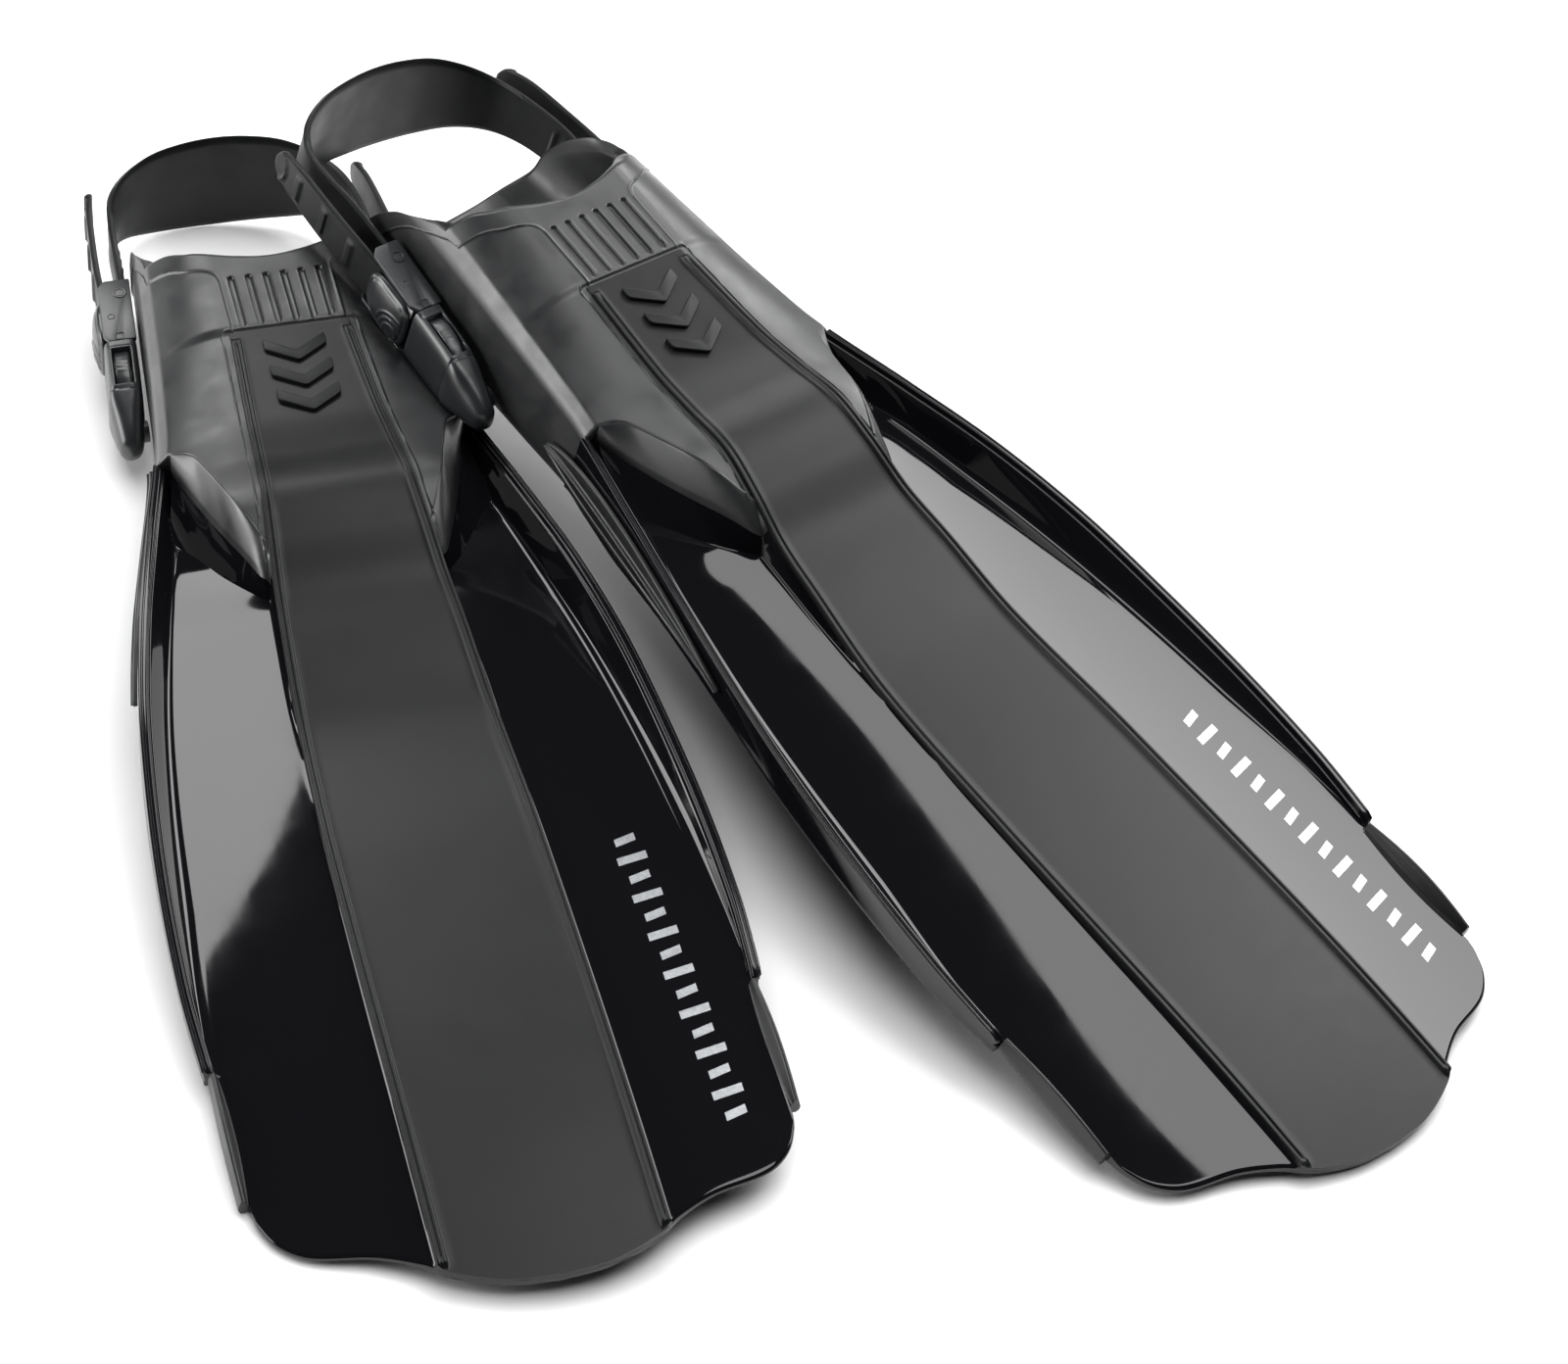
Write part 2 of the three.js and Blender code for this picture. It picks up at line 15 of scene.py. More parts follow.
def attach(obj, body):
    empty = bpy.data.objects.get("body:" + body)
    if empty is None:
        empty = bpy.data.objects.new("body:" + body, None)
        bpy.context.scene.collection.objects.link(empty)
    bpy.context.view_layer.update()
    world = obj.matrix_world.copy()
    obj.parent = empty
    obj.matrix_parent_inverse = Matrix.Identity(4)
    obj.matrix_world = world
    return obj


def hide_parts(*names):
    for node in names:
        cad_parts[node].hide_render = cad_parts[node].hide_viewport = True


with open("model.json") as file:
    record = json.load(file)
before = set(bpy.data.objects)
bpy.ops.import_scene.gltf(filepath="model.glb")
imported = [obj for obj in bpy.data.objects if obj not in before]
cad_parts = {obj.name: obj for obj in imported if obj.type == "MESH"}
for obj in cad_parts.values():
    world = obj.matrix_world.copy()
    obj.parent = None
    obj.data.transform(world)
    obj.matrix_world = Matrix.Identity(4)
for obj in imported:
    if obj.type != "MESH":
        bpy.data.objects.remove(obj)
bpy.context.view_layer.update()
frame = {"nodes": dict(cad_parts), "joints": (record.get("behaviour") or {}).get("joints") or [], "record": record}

MM = 0.001
FINS = ("lower", "upper")
SIDES = ("left", "right")


# ------------------------------------------------------------------ curves
def line(*knots):
    """A smooth function through (place, value) knots, level beyond both ends."""
    at, value = np.array(knots, float).T
    slope = np.gradient(value)
    slope[1:-1] = (value[2:] - value[:-2]) / (at[2:] - at[:-2])
    slope[0] = (value[1] - value[0]) / (at[1] - at[0])
    slope[-1] = (value[-1] - value[-2]) / (at[-1] - at[-2])

    def evaluate(place):
        place = np.clip(place, at[0], at[-1])
        i = np.clip(np.searchsorted(at, place, side="right") - 1, 0, len(at) - 2)
        span = at[i + 1] - at[i]
        t = (place - at[i]) / span
        rise = value[i] + (value[i + 1] - value[i]) * t * t * (3 - 2 * t)
        return rise + span * t * (1 - t) * (slope[i] * (1 - t) - slope[i + 1] * t)

    return evaluate


def ramp(value, low, high):
    """0 below low, 1 above high, smooth between."""
    t = np.clip((value - low) / (high - low), 0, 1)
    return t * t * (3 - 2 * t)


def ridge(distance, width):
    """A rounded ridge, 1 high, where distance is zero."""
    return np.exp(-((distance / width) ** 2))


# ------------------------------------------------------------------ lines along a fin
BEAD_X = line((-30, 43), (0, 43), (200, 42), (294, 38.5), (343, 35.3), (392, 31.4), (490, 25.4))
BEAD_Z = line((-30, 0), (60, 0), (196, -7), (270, -11), (318, -6.5), (343, -4), (368, 3),
              (392, 7.2), (416, 3.5), (441, 0.4), (490, 0), (545, 0))
PANEL_IN_Z = line((-30, -3.4), (60, -4), (130, -6.9), (196, -10.4), (233, -12.4), (270, -14.3),
                  (318, -16.4), (343, -17.3), (366, -18), (400, -24), (440, -38))
PANEL_OUT_X = line((-30, 108), (98, 109), (147, 107.5), (196, 103), (245, 98.5), (294, 92),
                   (343, 82.6), (392, 71.6), (440, 62))
PANEL_OUT_Z = line((-30, -8.6), (50, -10.4), (98, -12.1), (196, -16.1), (245, -18.3), (294, -20.6),
                   (343, -23), (392, -26.5), (440, -42))
PANEL_SAG = 1.05
UNDER_Z = line((-30, -7), (60, -7.2), (196, -14), (270, -18.6), (318, -22), (343, -26),
               (366, -33), (440, -57))
CREST_X = line((100, 109.9), (125, 111.6), (150, 112.5), (196, 111.4), (245, 107.8), (294, 102),
               (343, 93), (392, 81.5), (441, 69.6), (466, 66.3), (490, 63.8), (545, 58.8),
               (620, 52))
CREST_Z = line((100, -9.5), (147, -8), (245, -7), (294, -6), (343, -7), (392, -11), (441, -16),
               (490, -20), (560, -24), (620, -30))
WALL_X = line((100, 109.9), (125, 111), (150, 111.7), (196, 111.4), (245, 108.8), (294, 103),
              (343, 94), (392, 82.3), (441, 71), (466, 67), (490, 64), (545, 59.1), (620, 52.5))
SOLE_Z = line((100, -17.5), (125, -21.5), (150, -24), (245, -22.5), (294, -22), (343, -27),
              (392, -41), (441, -58), (490, -73.5), (545, -87.5), (612, -99))
WALL_FOOT_Z = line((343, -27), (392, -40), (441, -56), (490, -67.5), (545, -74), (612, -78))
FOOT_X = line((386, 20), (391, 32), (401, 41), (414, 46.5), (430, 51), (448, 57), (470, 60),
              (490, 60), (545, 55.5), (650, 49))
TOE_Y = line((35.6, 366), (41, 379), (46.5, 394), (51, 411), (56.5, 427.5), (66, 434.5))
CAP_Y = line((35.6, 352.5), (40, 354.5), (44, 364), (49, 378), (57, 403), (63, 423), (66, 433.5),
             (72, 434))
PANEL_END = line((35.6, 347.5), (40, 351.5), (46, 358.5), (53.6, 369.5), (60, 381), (65.7, 391),
                 (69.5, 396), (76, 400))
EAR_Y = line((-100, 610), (-68, 608), (-51, 601), (-34, 588), (-24, 574), (-19, 565), (-14, 561))

TIP = [(0, -13), (20, -11), (40, -3.6), (50, 4), (66, 12.2), (89, 18.6), (99, 26), (104.5, 36),
       (106.5, 46)]
TIP_EDGE_X = TIP[-1][0]
RAIL_END_Y = 109
SHEET = 3.6
BEAD_HALF = 2
BEAD_FOOT = 0.6
PANEL_SINK = 1.6
PANEL_END_Y = 494
SLOT = {"x": (4.05, 12.15, 20.25), "middle": 514, "reach": 14.5, "radius": 1.5, "depth": 1.6}


def tip_line():
    """The tip's outline as y over x, from a curve through its knots."""
    reach = np.concatenate([[0], np.cumsum(np.hypot(*np.diff(TIP, axis=0).T))])
    along = np.linspace(0, reach[-1], 400)
    x = line(*zip(reach, [p[0] for p in TIP]))(along)
    y = line(*zip(reach, [p[1] for p in TIP]))(along)
    return lambda place: np.interp(place, x, y)


TIP_Y = tip_line()


# ------------------------------------------------------------------ skins
PLATE_CREASE = 30
CORNER_STEPS = 5
DISC_STEPS = 40


def section(corners, arc=4):
    """Rows of points along sections with rounded corners.

    A corner is (x, z, radius, steps to the next corner, bulge of that stretch, crowding). With a
    bulge and no crowding, all the points of a stretch lie at its start.
    """
    spots = [np.stack(np.broadcast_arrays(np.atleast_1d(c[0]), np.atleast_1d(c[1])), -1)
             for c in corners]
    rows = max(len(p) for p in spots)
    spots = [np.broadcast_to(p, (rows, 2)).astype(float) for p in spots]
    spans = [b - a for a, b in zip(spots, spots[1:])]
    sizes = [np.maximum(np.linalg.norm(s, axis=1, keepdims=True), 1e-6) for s in spans]
    ways = [s / size for s, size in zip(spans, sizes)]
    cuts = [np.zeros((rows, 1))]
    for corner, before, after in zip(corners[1:-1], sizes, sizes[1:]):
        room = 0.45 * np.minimum(before, after)
        cuts.append(np.minimum(np.reshape(corner[2], (-1, 1)), room))
    cuts.append(np.zeros((rows, 1)))
    found = []
    for k, way in enumerate(ways):
        start = spots[k] + way * cuts[k]
        end = spots[k + 1] - way * cuts[k + 1]
        square = np.stack([-way[:, 1], way[:, 0]], -1)
        steps, bulge, crowd = (*corners[k][3:], 0, 1)[:3] if len(corners[k]) < 6 else corners[k][3:]
        bulge = np.reshape(bulge, (-1, 1))
        for t in np.linspace(0, 1, steps + 1):
            share = 1 - (1 - t) ** crowd
            found.append(start + (end - start) * share + square * (4 * share * (1 - share) * bulge))
        if k + 1 < len(ways):
            leave = spots[k + 1] + ways[k + 1] * cuts[k + 1]
            for t in np.arange(1, arc) / arc:
                found.append(end * (1 - t) ** 2 + spots[k + 1] * 2 * t * (1 - t) + leave * t * t)
    return np.stack(found, axis=1)


def warped(stations, table, front, rear, shares):
    """Rows of a table of sections that run between two lines instead of straight across."""
    place = front + (rear - front) * shares[:, None]
    at = (place - stations[0]) / (stations[1] - stations[0])
    low = np.clip(np.floor(at).astype(int), 0, len(stations) - 2)
    t = (at - low)[..., None]
    column = np.arange(table.shape[1])[None, :]
    spot = table[low, column] * (1 - t) + table[low + 1, column] * t
    return np.stack([spot[..., 0], place, spot[..., 1]], -1)


def crossing(stations, gap):
    """For each column of gap, the first station where it rises through zero."""
    after = np.clip(np.argmax(gap > 0, axis=0), 1, len(stations) - 1)
    column = np.arange(gap.shape[1])
    late, early = gap[after, column], gap[after - 1, column]
    return stations[after] - (stations[1] - stations[0]) * late / np.maximum(late - early, 1e-9)


def whole(half):
    """Rings from their right halves, which run from the middle of the top to the middle below."""
    left = half[:, -2:0:-1] * np.array([-1, 1, 1])
    return np.concatenate([half, left], axis=1)


def normals(grid):
    """Unit normals of a grid of points."""
    across = np.gradient(grid, axis=1)
    along = np.gradient(grid, axis=0)
    up = np.cross(across, along)
    size = np.linalg.norm(up, axis=-1, keepdims=True)
    return up / np.maximum(size, 1e-9)


def shaded(mesh, crease):
    """The mesh shaded smooth, but for edges sharper than the crease in degrees."""
    mesh.shade_smooth()
    mesh.set_sharp_from_angle(angle=np.radians(crease))
    return mesh


def mesh_from(name, points, faces, crease=40):
    """A mesh from points in millimetres, its faces turned outwards."""
    mesh = bpy.data.meshes.new(name)
    mesh.from_pydata((np.asarray(points, float) * MM).tolist(), [], faces)
    work = bmesh.new()
    work.from_mesh(mesh)
    bmesh.ops.recalc_face_normals(work, faces=work.faces)
    work.to_mesh(mesh)
    work.free()
    return shaded(mesh, crease)


def zipped(ring, first):
    """Triangles that close a curved end ring, from its top line down to its bottom line."""
    count = len(ring)
    x = ring[:, 0]
    right, left = int(np.argmax(x)), int(np.argmin(x))
    over = [*range(left, count), *range(right + 1)]
    under = list(range(left, right - 1, -1))
    faces = []
    i = j = 0
    while i < len(over) - 1 or j < len(under) - 1:
        rise = j == len(under) - 1 or (i < len(over) - 1 and x[over[i + 1]] <= x[under[j + 1]])
        tip = over[i + 1] if rise else under[j + 1]
        if len({over[i], under[j], tip}) == 3:
            faces.append((first + over[i], first + under[j], first + tip))
        i, j = i + rise, j + (not rise)
    return faces


def skin(name, rings, crease=40, curved=()):
    """A closed skin over an array of (rings, points, 3); curved names the rings that end curved."""
    rows, count, _ = rings.shape
    here = np.arange(rows - 1)[:, None] * count + np.arange(count)
    beside = np.arange(rows - 1)[:, None] * count + (np.arange(count) + 1) % count
    quads = np.stack([here, beside, beside + count, here + count], -1).reshape(-1, 4)
    ends = []
    for row in (0, -1):
        first = row % rows * count
        ends += zipped(rings[row], first) if row in curved else [list(range(first, first + count))]
    return mesh_from(name, rings.reshape(-1, 3), quads.tolist() + ends, crease)


def flipped(mesh, name):
    """The same mesh for the other side of the fin."""
    other = mesh.copy()
    other.name = name
    other.transform(Matrix.Diagonal((-1, 1, 1, 1)))
    other.flip_normals()
    return other


def joined(name, meshes, crease=40):
    """One mesh out of several, which are used up."""
    work = bmesh.new()
    for mesh in meshes:
        work.from_mesh(mesh)
        bpy.data.meshes.remove(mesh)
    mesh = bpy.data.meshes.new(name)
    work.to_mesh(mesh)
    work.free()
    return shaded(mesh, crease)


def plate(name, outline, low, high, bevel):
    """A prism with bevelled edges that stands upright on an outline of flat points."""
    work = bmesh.new()
    base, roof = ([work.verts.new(Vector((x, y, z)) * MM) for x, y in outline] for z in (low, high))
    rims = [work.faces.new(base), work.faces.new(roof)]
    for i in range(len(outline)):
        j = (i + 1) % len(outline)
        work.faces.new([base[i], base[j], roof[j], roof[i]])
    bmesh.ops.recalc_face_normals(work, faces=work.faces)
    edges = {edge for face in rims for edge in face.edges}
    bmesh.ops.bevel(work, geom=list(edges), offset=bevel * MM, segments=3, profile=0.5,
                    affect="EDGES", clamp_overlap=True)
    mesh = bpy.data.meshes.new(name)
    work.to_mesh(mesh)
    work.free()
    return shaded(mesh, PLATE_CREASE)


def soft_outline(points, radius):
    """A closed outline of flat points with its corners rounded."""
    points = [np.array(p, float) for p in points]
    found = []
    for before, here, after in zip(points[-1:] + points[:-1], points, points[1:] + points[:1]):
        back, on = before - here, after - here
        cut = min(radius, 0.45 * np.linalg.norm(back), 0.45 * np.linalg.norm(on))
        a = here + back / np.linalg.norm(back) * cut
        b = here + on / np.linalg.norm(on) * cut
        for t in np.linspace(0, 1, CORNER_STEPS):
            found.append(a * (1 - t) ** 2 + here * 2 * t * (1 - t) + b * t * t)
    return found


# ------------------------------------------------------------------ foot pocket
RIM_BAND = 10
SLOT_BAND_X = 25.6
PANEL_MARGIN = 5.2
LIP_ROWS = 7
RIM_Y = 540
RIM_SIDE_Y = 560


def pocket_section(s):
    """The pocket's outside at stations s, right half."""
    top = BEAD_Z(s) - 2.3 + 1.5 * ramp(s, PANEL_END_Y, PANEL_END_Y + 5)
    bead = BEAD_X(s) + BEAD_HALF
    crest_x, crest_z, wall_x = CREST_X(s), CREST_Z(s), WALL_X(s)
    foot, sole = WALL_FOOT_Z(s), SOLE_Z(s)
    shoulder = crest_x - 3.5
    slope = [(bead + (shoulder - bead) * t, top + (crest_z * 0.72 + 0.8 - top) * t ** 1.9, 9, 5)
             for t in np.linspace(0.12, 0.96, 14)]
    return section([
        (0, top, 0, 46), (bead, top, 1, 8), *slope,
        (crest_x, crest_z, 5, 5), (crest_x * 0.85 + wall_x * 0.15, crest_z - 6, 3, 12),
        (wall_x, foot + 9, 7, 5), (wall_x - 5, foot, 5, 10),
        (wall_x * 0.6, foot * 0.35 + sole * 0.65, 20, 14), (0, sole, 0, 1),
    ])


def foot_section(s):
    """The pocket's inside at stations s, right half."""
    wide = FOOT_X(s)
    roof = np.minimum(BEAD_Z(s), 2) - 5 + 1.2 * ramp(s, 500, 545)
    floor, side = SOLE_Z(s) + 6, WALL_FOOT_Z(s) + 6
    high = roof - side
    return section([
        (0, roof, 0, 20), (wide * 0.5, roof - 1.5, 12, 10),
        (wide * 0.8, roof - 0.16 * high, 12, 10), (wide, roof - 0.4 * high, 12, 8),
        (wide, side + 0.2 * high, 6, 5), (wide - 6, side, 6, 10),
        (wide * 0.55, side * 0.35 + floor * 0.65, 20, 10), (0, floor, 0, 1),
    ])


def respaced(table, shares):
    """Each row of a table of sections, laid out again at shares of its length."""
    rows = []
    for row in table:
        reach = np.concatenate([[0], np.cumsum(np.hypot(*np.diff(row, axis=0).T))])
        rows.append(np.stack([np.interp(shares * reach[-1], reach, row[:, k]) for k in (0, 1)], -1))
    return np.array(rows)


def moulded(across, s, edge):
    """Height of the mouldings on the pocket: rim band, slot field, panel outline and slots."""
    band = RIM_BAND - edge
    field = np.minimum(SLOT_BAND_X - across, s - PANEL_END_Y)
    margin_x = across - (BEAD_X(s) + BEAD_HALF + PANEL_MARGIN)
    margin_y = s - (PANEL_END_Y + 3)
    corner = 4
    past_x, past_y = np.maximum(margin_x + corner, 0), np.maximum(margin_y + corner, 0)
    round_off = np.hypot(past_x, past_y) - corner
    margin = -np.minimum(round_off, 40)
    blend = 2.5
    shape = blend * np.log(np.exp(band / blend) + np.exp(np.minimum(field, 30) / blend))
    height = 0.3 * ramp(shape, -0.3, 0.4) + 0.5 * ridge(shape, 0.5) * ramp(s, 492, 498)
    height += 0.5 * ridge(margin, 0.5)
    for x in SLOT["x"]:
        reach = np.maximum(np.abs(s - SLOT["middle"]) - SLOT["reach"], 0)
        inside = SLOT["radius"] - np.hypot(across - x, reach)
        height -= SLOT["depth"] * ramp(inside, -0.3, 0.5)
        height += 0.15 * ridge(inside, 0.4)
    return height


def pocket_grid():
    """Outer skin of the foot pocket, its right half, from the toe edge to the rim and the ears."""
    stations = np.arange(355, 616, 0.5)
    table = pocket_section(stations)
    x, z = table[..., 0], table[..., 1]
    s = stations[:, None]
    front = crossing(stations, s - TOE_Y(x))
    rim = RIM_Y + 20 * (np.clip(x, 0, 58) / 56) ** 2 + 0.9 * np.sin(x / 3.2) * ramp(x, 34, 44)
    heel = RIM_SIDE_Y + 50 * np.sqrt(np.clip(1 - (x / 70) ** 6, 0, 1))
    rear = crossing(stations, s - np.minimum(np.where(z > -18, rim, EAR_Y(z)), heel))
    shares = np.concatenate([[0, 0.0012, 0.003, 0.006], np.linspace(0.01, 0.994, 340), [0.997, 1]])
    grid = warped(stations, table, front, rear, shares)
    steps = np.linalg.norm(np.diff(grid, axis=1), axis=-1)
    across = np.concatenate([np.zeros((len(grid), 1)), np.cumsum(steps, axis=1)], axis=1)
    height = moulded(across, grid[..., 1], rear - grid[..., 1])
    toe = (grid[..., 1] - front) * 0.6
    height -= 0.9 * (1 - np.sqrt(1 - np.clip(1 - toe / 0.9, 0, 1) ** 2))
    return grid + normals(grid) * height[..., None], rear


def foot_pocket():
    """The pocket: its outside, a rounded lip along the rim and its inside."""
    outer, rear = pocket_grid()
    steps = np.linalg.norm(np.diff(outer[-1], axis=0), axis=-1)
    shares = np.concatenate([[0], np.cumsum(steps)]) / steps.sum()
    stations = np.arange(385, 616, 1.0)
    table = respaced(foot_section(stations), shares)
    inner = warped(stations, table, np.full(len(rear), 390.0), rear, np.linspace(1, 0, 34))
    a, b = outer[-1], inner[0]
    half = np.linalg.norm(a - b, axis=-1, keepdims=True) / 2
    lip = []
    for turn in np.linspace(0, np.pi, LIP_ROWS + 2)[1:-1]:
        bulge = np.array([0, 1, 0]) * np.minimum(half, 2.5) * np.sin(turn)
        lip.append((a + b) / 2 + (a - b) / 2 * np.cos(turn) + bulge)
    return skin("foot_pocket", whole(np.concatenate([outer, np.array(lip), inner])), 50, (0,))


# ------------------------------------------------------------------ blade
CAP_FOOT = 0.48
CAP_END_X = 66.5
SWEEP_ROWS = 44
CREST_HALF = 2
SOLE_LIFT = 7
MERGE_Y = (380, 434)


def panel_start(s):
    return BEAD_X(s) + BEAD_HALF + BEAD_FOOT


def panel_share(s, x):
    """How far along the way from the bead to the rail x lies."""
    start = panel_start(s)
    return (x - start) / (PANEL_OUT_X(s) - start)


def panel_at(s, share):
    """A point of the blade's side panel, at a share of the way from the bead to the rail."""
    start, end = panel_start(s), PANEL_OUT_X(s)
    inner, outer = PANEL_IN_Z(s), PANEL_OUT_Z(s)
    sag = 4 * PANEL_SAG * share * (1 - share)
    return start + (end - start) * share, inner + (outer - inner) * share - sag


def blade_section(s):
    """The blade at stations s, right half. Its rail starts at RAIL_END_Y."""
    bead = BEAD_X(s) + BEAD_HALF
    base = BEAD_Z(s) - 2.7
    rail = ramp(s, RAIL_END_Y - 0.4, RAIL_END_Y + 0.4)
    rise = 1 - 0.35 * (1 - ramp(s, RAIL_END_Y, RAIL_END_Y + 5))
    edge = TIP_EDGE_X

    def mix(flat, railed):
        return flat * (1 - rail) + railed * rail

    end = np.minimum(mix(edge - 1.6, PANEL_OUT_X(s)), PANEL_OUT_X(s))
    out_x, out_z = panel_at(s, panel_share(s, end))
    low = out_z - SHEET
    crest_x = CREST_X(s)
    crest_z = out_z + (CREST_Z(s) - out_z) * rise
    sole = mix(low, SOLE_Z(s) + SOLE_LIFT * ramp(s, *MERGE_Y))
    wall = mix(edge, WALL_X(s) + 1 - 1.3 * ramp(s, 415, 434))
    under = np.minimum(UNDER_Z(s), low + (BEAD_Z(s) - out_z) * 0.5)

    def crest(off, drop):
        return mix(edge - 0.9 + off * 0.1, crest_x + off), mix(out_z, crest_z - drop)

    return section([
        (0, base, 0, 3), (bead - 0.4, base, 0.2, 1),
        (panel_start(s), PANEL_IN_Z(s), 1, 2),
        *((*panel_at(s, share), 9, 1) for share in np.linspace(0.08, 0.87, 11)),
        (out_x, out_z, mix(0.5, 5), 9, 0, 1),
        (*crest(-3.6, 2.4), 0.5, 2), (*crest(-2.5, 2.3), 0.4, 2),
        (*crest(-CREST_HALF, 0), 0.5, 2), (*crest(-0.5, 0), 0.15, 1), (*crest(-0.25, 0.5), 0.15, 1),
        (*crest(0.25, 0.5), 0.15, 1), (*crest(0.5, 0), 0.15, 2),
        (*crest(CREST_HALF - 0.4, 0), 0.7, 12, mix(0, -0.6), 1),
        (wall, sole, mix(0.7, 1.6), 4), (wall - mix(1, 5), sole - 0.01, 1, 8),
        (out_x - 1, np.minimum(np.maximum(sole, low), out_z - 2.4), 4, 26),
        (bead + 1, under, 8, 8), (0, under, 0, 1),
    ])


def blade_grid(toe_x, toe_z):
    """The blade's right half. From the panels' rear end it sweeps up to the pocket's toe edge."""
    stations = np.arange(-30, 441, 0.5)
    table = blade_section(stations)
    x = table[..., 0]
    s = stations[:, None]
    front = crossing(stations, s - TIP_Y(np.abs(x)))
    lines = [crossing(stations, s - curve(x)) for curve in (PANEL_END, CAP_Y)]
    rear = crossing(stations, s - TOE_Y(x) - 0.6)
    lines = [np.minimum(lines[0], rear - 2), np.minimum(lines[1], rear - 1)]
    tip_y = TIP_Y(TIP_EDGE_X)
    rail = (RAIL_END_Y - tip_y) / (float(PANEL_END(TIP_EDGE_X)) - tip_y)
    shares = np.concatenate([
        [0, 0.0006, 0.0018, 0.0038, 0.0062], np.linspace(0.009, rail - 0.002, 60),
        rail + np.linspace(-0.001, 0.006, 6), np.linspace(rail + 0.01, 1, 190),
    ])
    sweep = np.linspace(0, 1, SWEEP_ROWS + 1)[1:]
    grid = np.concatenate([
        warped(stations, table, front, lines[0], shares),
        warped(stations, table, lines[0], lines[1], sweep),
        warped(stations, table, lines[1], rear, sweep),
    ])
    top = np.zeros(grid.shape[:2], bool)
    top[:, 6:76] = True
    x, y = grid[..., 0], grid[..., 1]
    near = (y > PANEL_END(x)) & (x <= CREST_X(y) - CREST_HALF) & top
    spots = grid[near]
    across, place = spots[:, 0], spots[:, 1]
    end, foot, edge = PANEL_END(across), CAP_Y(across), TOE_Y(across)
    panel_z = panel_at(end, np.clip(panel_share(end, across), 0, 1))[1]
    edge_z = np.interp(across, toe_x, toe_z) - 0.5
    foot_z = panel_z + (edge_z - panel_z) * CAP_FOOT
    first = np.clip((place - end) / (foot - end), 0, 1) ** 0.9
    second = 1 - (1 - np.clip((place - foot) / np.maximum(edge - foot, 1), 0, 1)) ** 1.25
    goal = panel_z + (foot_z - panel_z) * first + (edge_z - foot_z) * second
    spots[:, 2] = np.maximum(goal, spots[:, 2])
    grid[near] = spots
    for row, squeeze in enumerate((0.2, 0.47, 0.73, 0.92)):
        level = np.interp(grid[row, :, 0], *level_of(grid[row]))
        grid[row, :, 2] = level + (grid[row, :, 2] - level) * squeeze
    return grid


def toe_caps(grid):
    """The rubber of the toe, laid over the upper part of the sweep on both sides."""
    rows = grid[-SWEEP_ROWS - 1:]
    last = int(np.argmax(rows[-1, :, 0] > CAP_END_X))
    face = rows[:, 7:last]
    up = normals(face)
    up *= np.sign(up[..., 2:])
    share = np.linspace(0, 1, len(face))[:, None, None]
    over = face + up * (0.12 + 0.3 * np.minimum(share * 6, 1))
    rings = np.concatenate([over, (face - up)[:, ::-1]], axis=1)
    cap = skin("toe_cap", rings, 45)
    return joined("toe_caps", [cap, flipped(cap, "toe_cap_left")], 45)


def level_of(row):
    """Middle height of the sheet over x, from one row of the blade."""
    turn = int(np.argmax(row[:, 0]))
    x = row[: turn + 1, 0]
    over = row[: turn + 1, 2]
    below = np.interp(x, row[turn:, 0][::-1], row[turn:, 2][::-1])
    order = np.argsort(x)
    return x[order], ((over + below) / 2)[order]


# ------------------------------------------------------------------ centre panel
def panel_section(s):
    """The centre panel at stations s, right half, with the groove along its bead."""
    x, z = BEAD_X(s), BEAD_Z(s)
    bead = ramp(s, -1.5, 0.5) * (1 - ramp(s, 489.5, 491.5))
    groove = ramp(s, 1.5, 3) * (1 - ramp(s, 486.5, 488)) * 0.8
    face = z - PANEL_SINK
    top = face + PANEL_SINK * bead
    half = BEAD_HALF - 0.1
    return section([
        (0, face, 0, 14), (x - half - 0.6, face, 0.5, 2), (x - half, top, 0.4, 1),
        (x - 0.8, top, 0.2, 1), (x - 0.5, top - groove, 0.25, 1), (x + 0.5, top - groove, 0.25, 1),
        (x + 0.8, top, 0.2, 1), (x + half, top, 0.4, 2), (x + half + 0.1, z - 3.2, 0.2, 4),
        (0, z - 3.2, 0, 1),
    ], arc=3)


def centre_panel():
    stations = np.arange(-30, 496, 0.5)
    table = panel_section(stations)
    front = crossing(stations, stations[:, None] - TIP_Y(table[..., 0]))
    rear = np.full(table.shape[1], PANEL_END_Y + 1.0)
    shares = np.concatenate([[0], np.linspace(0.002, 1, 420)])
    grid = warped(stations, table, front, rear, shares)
    return skin("centre_panel", whole(grid), 35, (0,))


CHEVRONS = {"y": (440, 456, 472), "half": 14, "sweep": 9, "width": 6.5}
DASHES = {"count": 15, "from": 44, "pitch": 10.2, "x": 84, "lean": 0.05, "lengths": (9, 13)}


def instep_marks():
    """Plain raised chevrons on the instep."""
    half, sweep, width = CHEVRONS["half"], CHEVRONS["sweep"], CHEVRONS["width"]
    marks = []
    for y in CHEVRONS["y"]:
        outline = [(0, y), (half, y + sweep), (half, y + sweep + width), (0, y + width),
                   (-half, y + sweep + width), (-half, y + sweep)]
        low = float(BEAD_Z(y + 15)) - PANEL_SINK - 0.5
        marks.append(plate("mark", soft_outline(outline, 1.6), low, float(BEAD_Z(y)) + 0.2, 0.4))
    return joined("instep_marks", marks, 30)


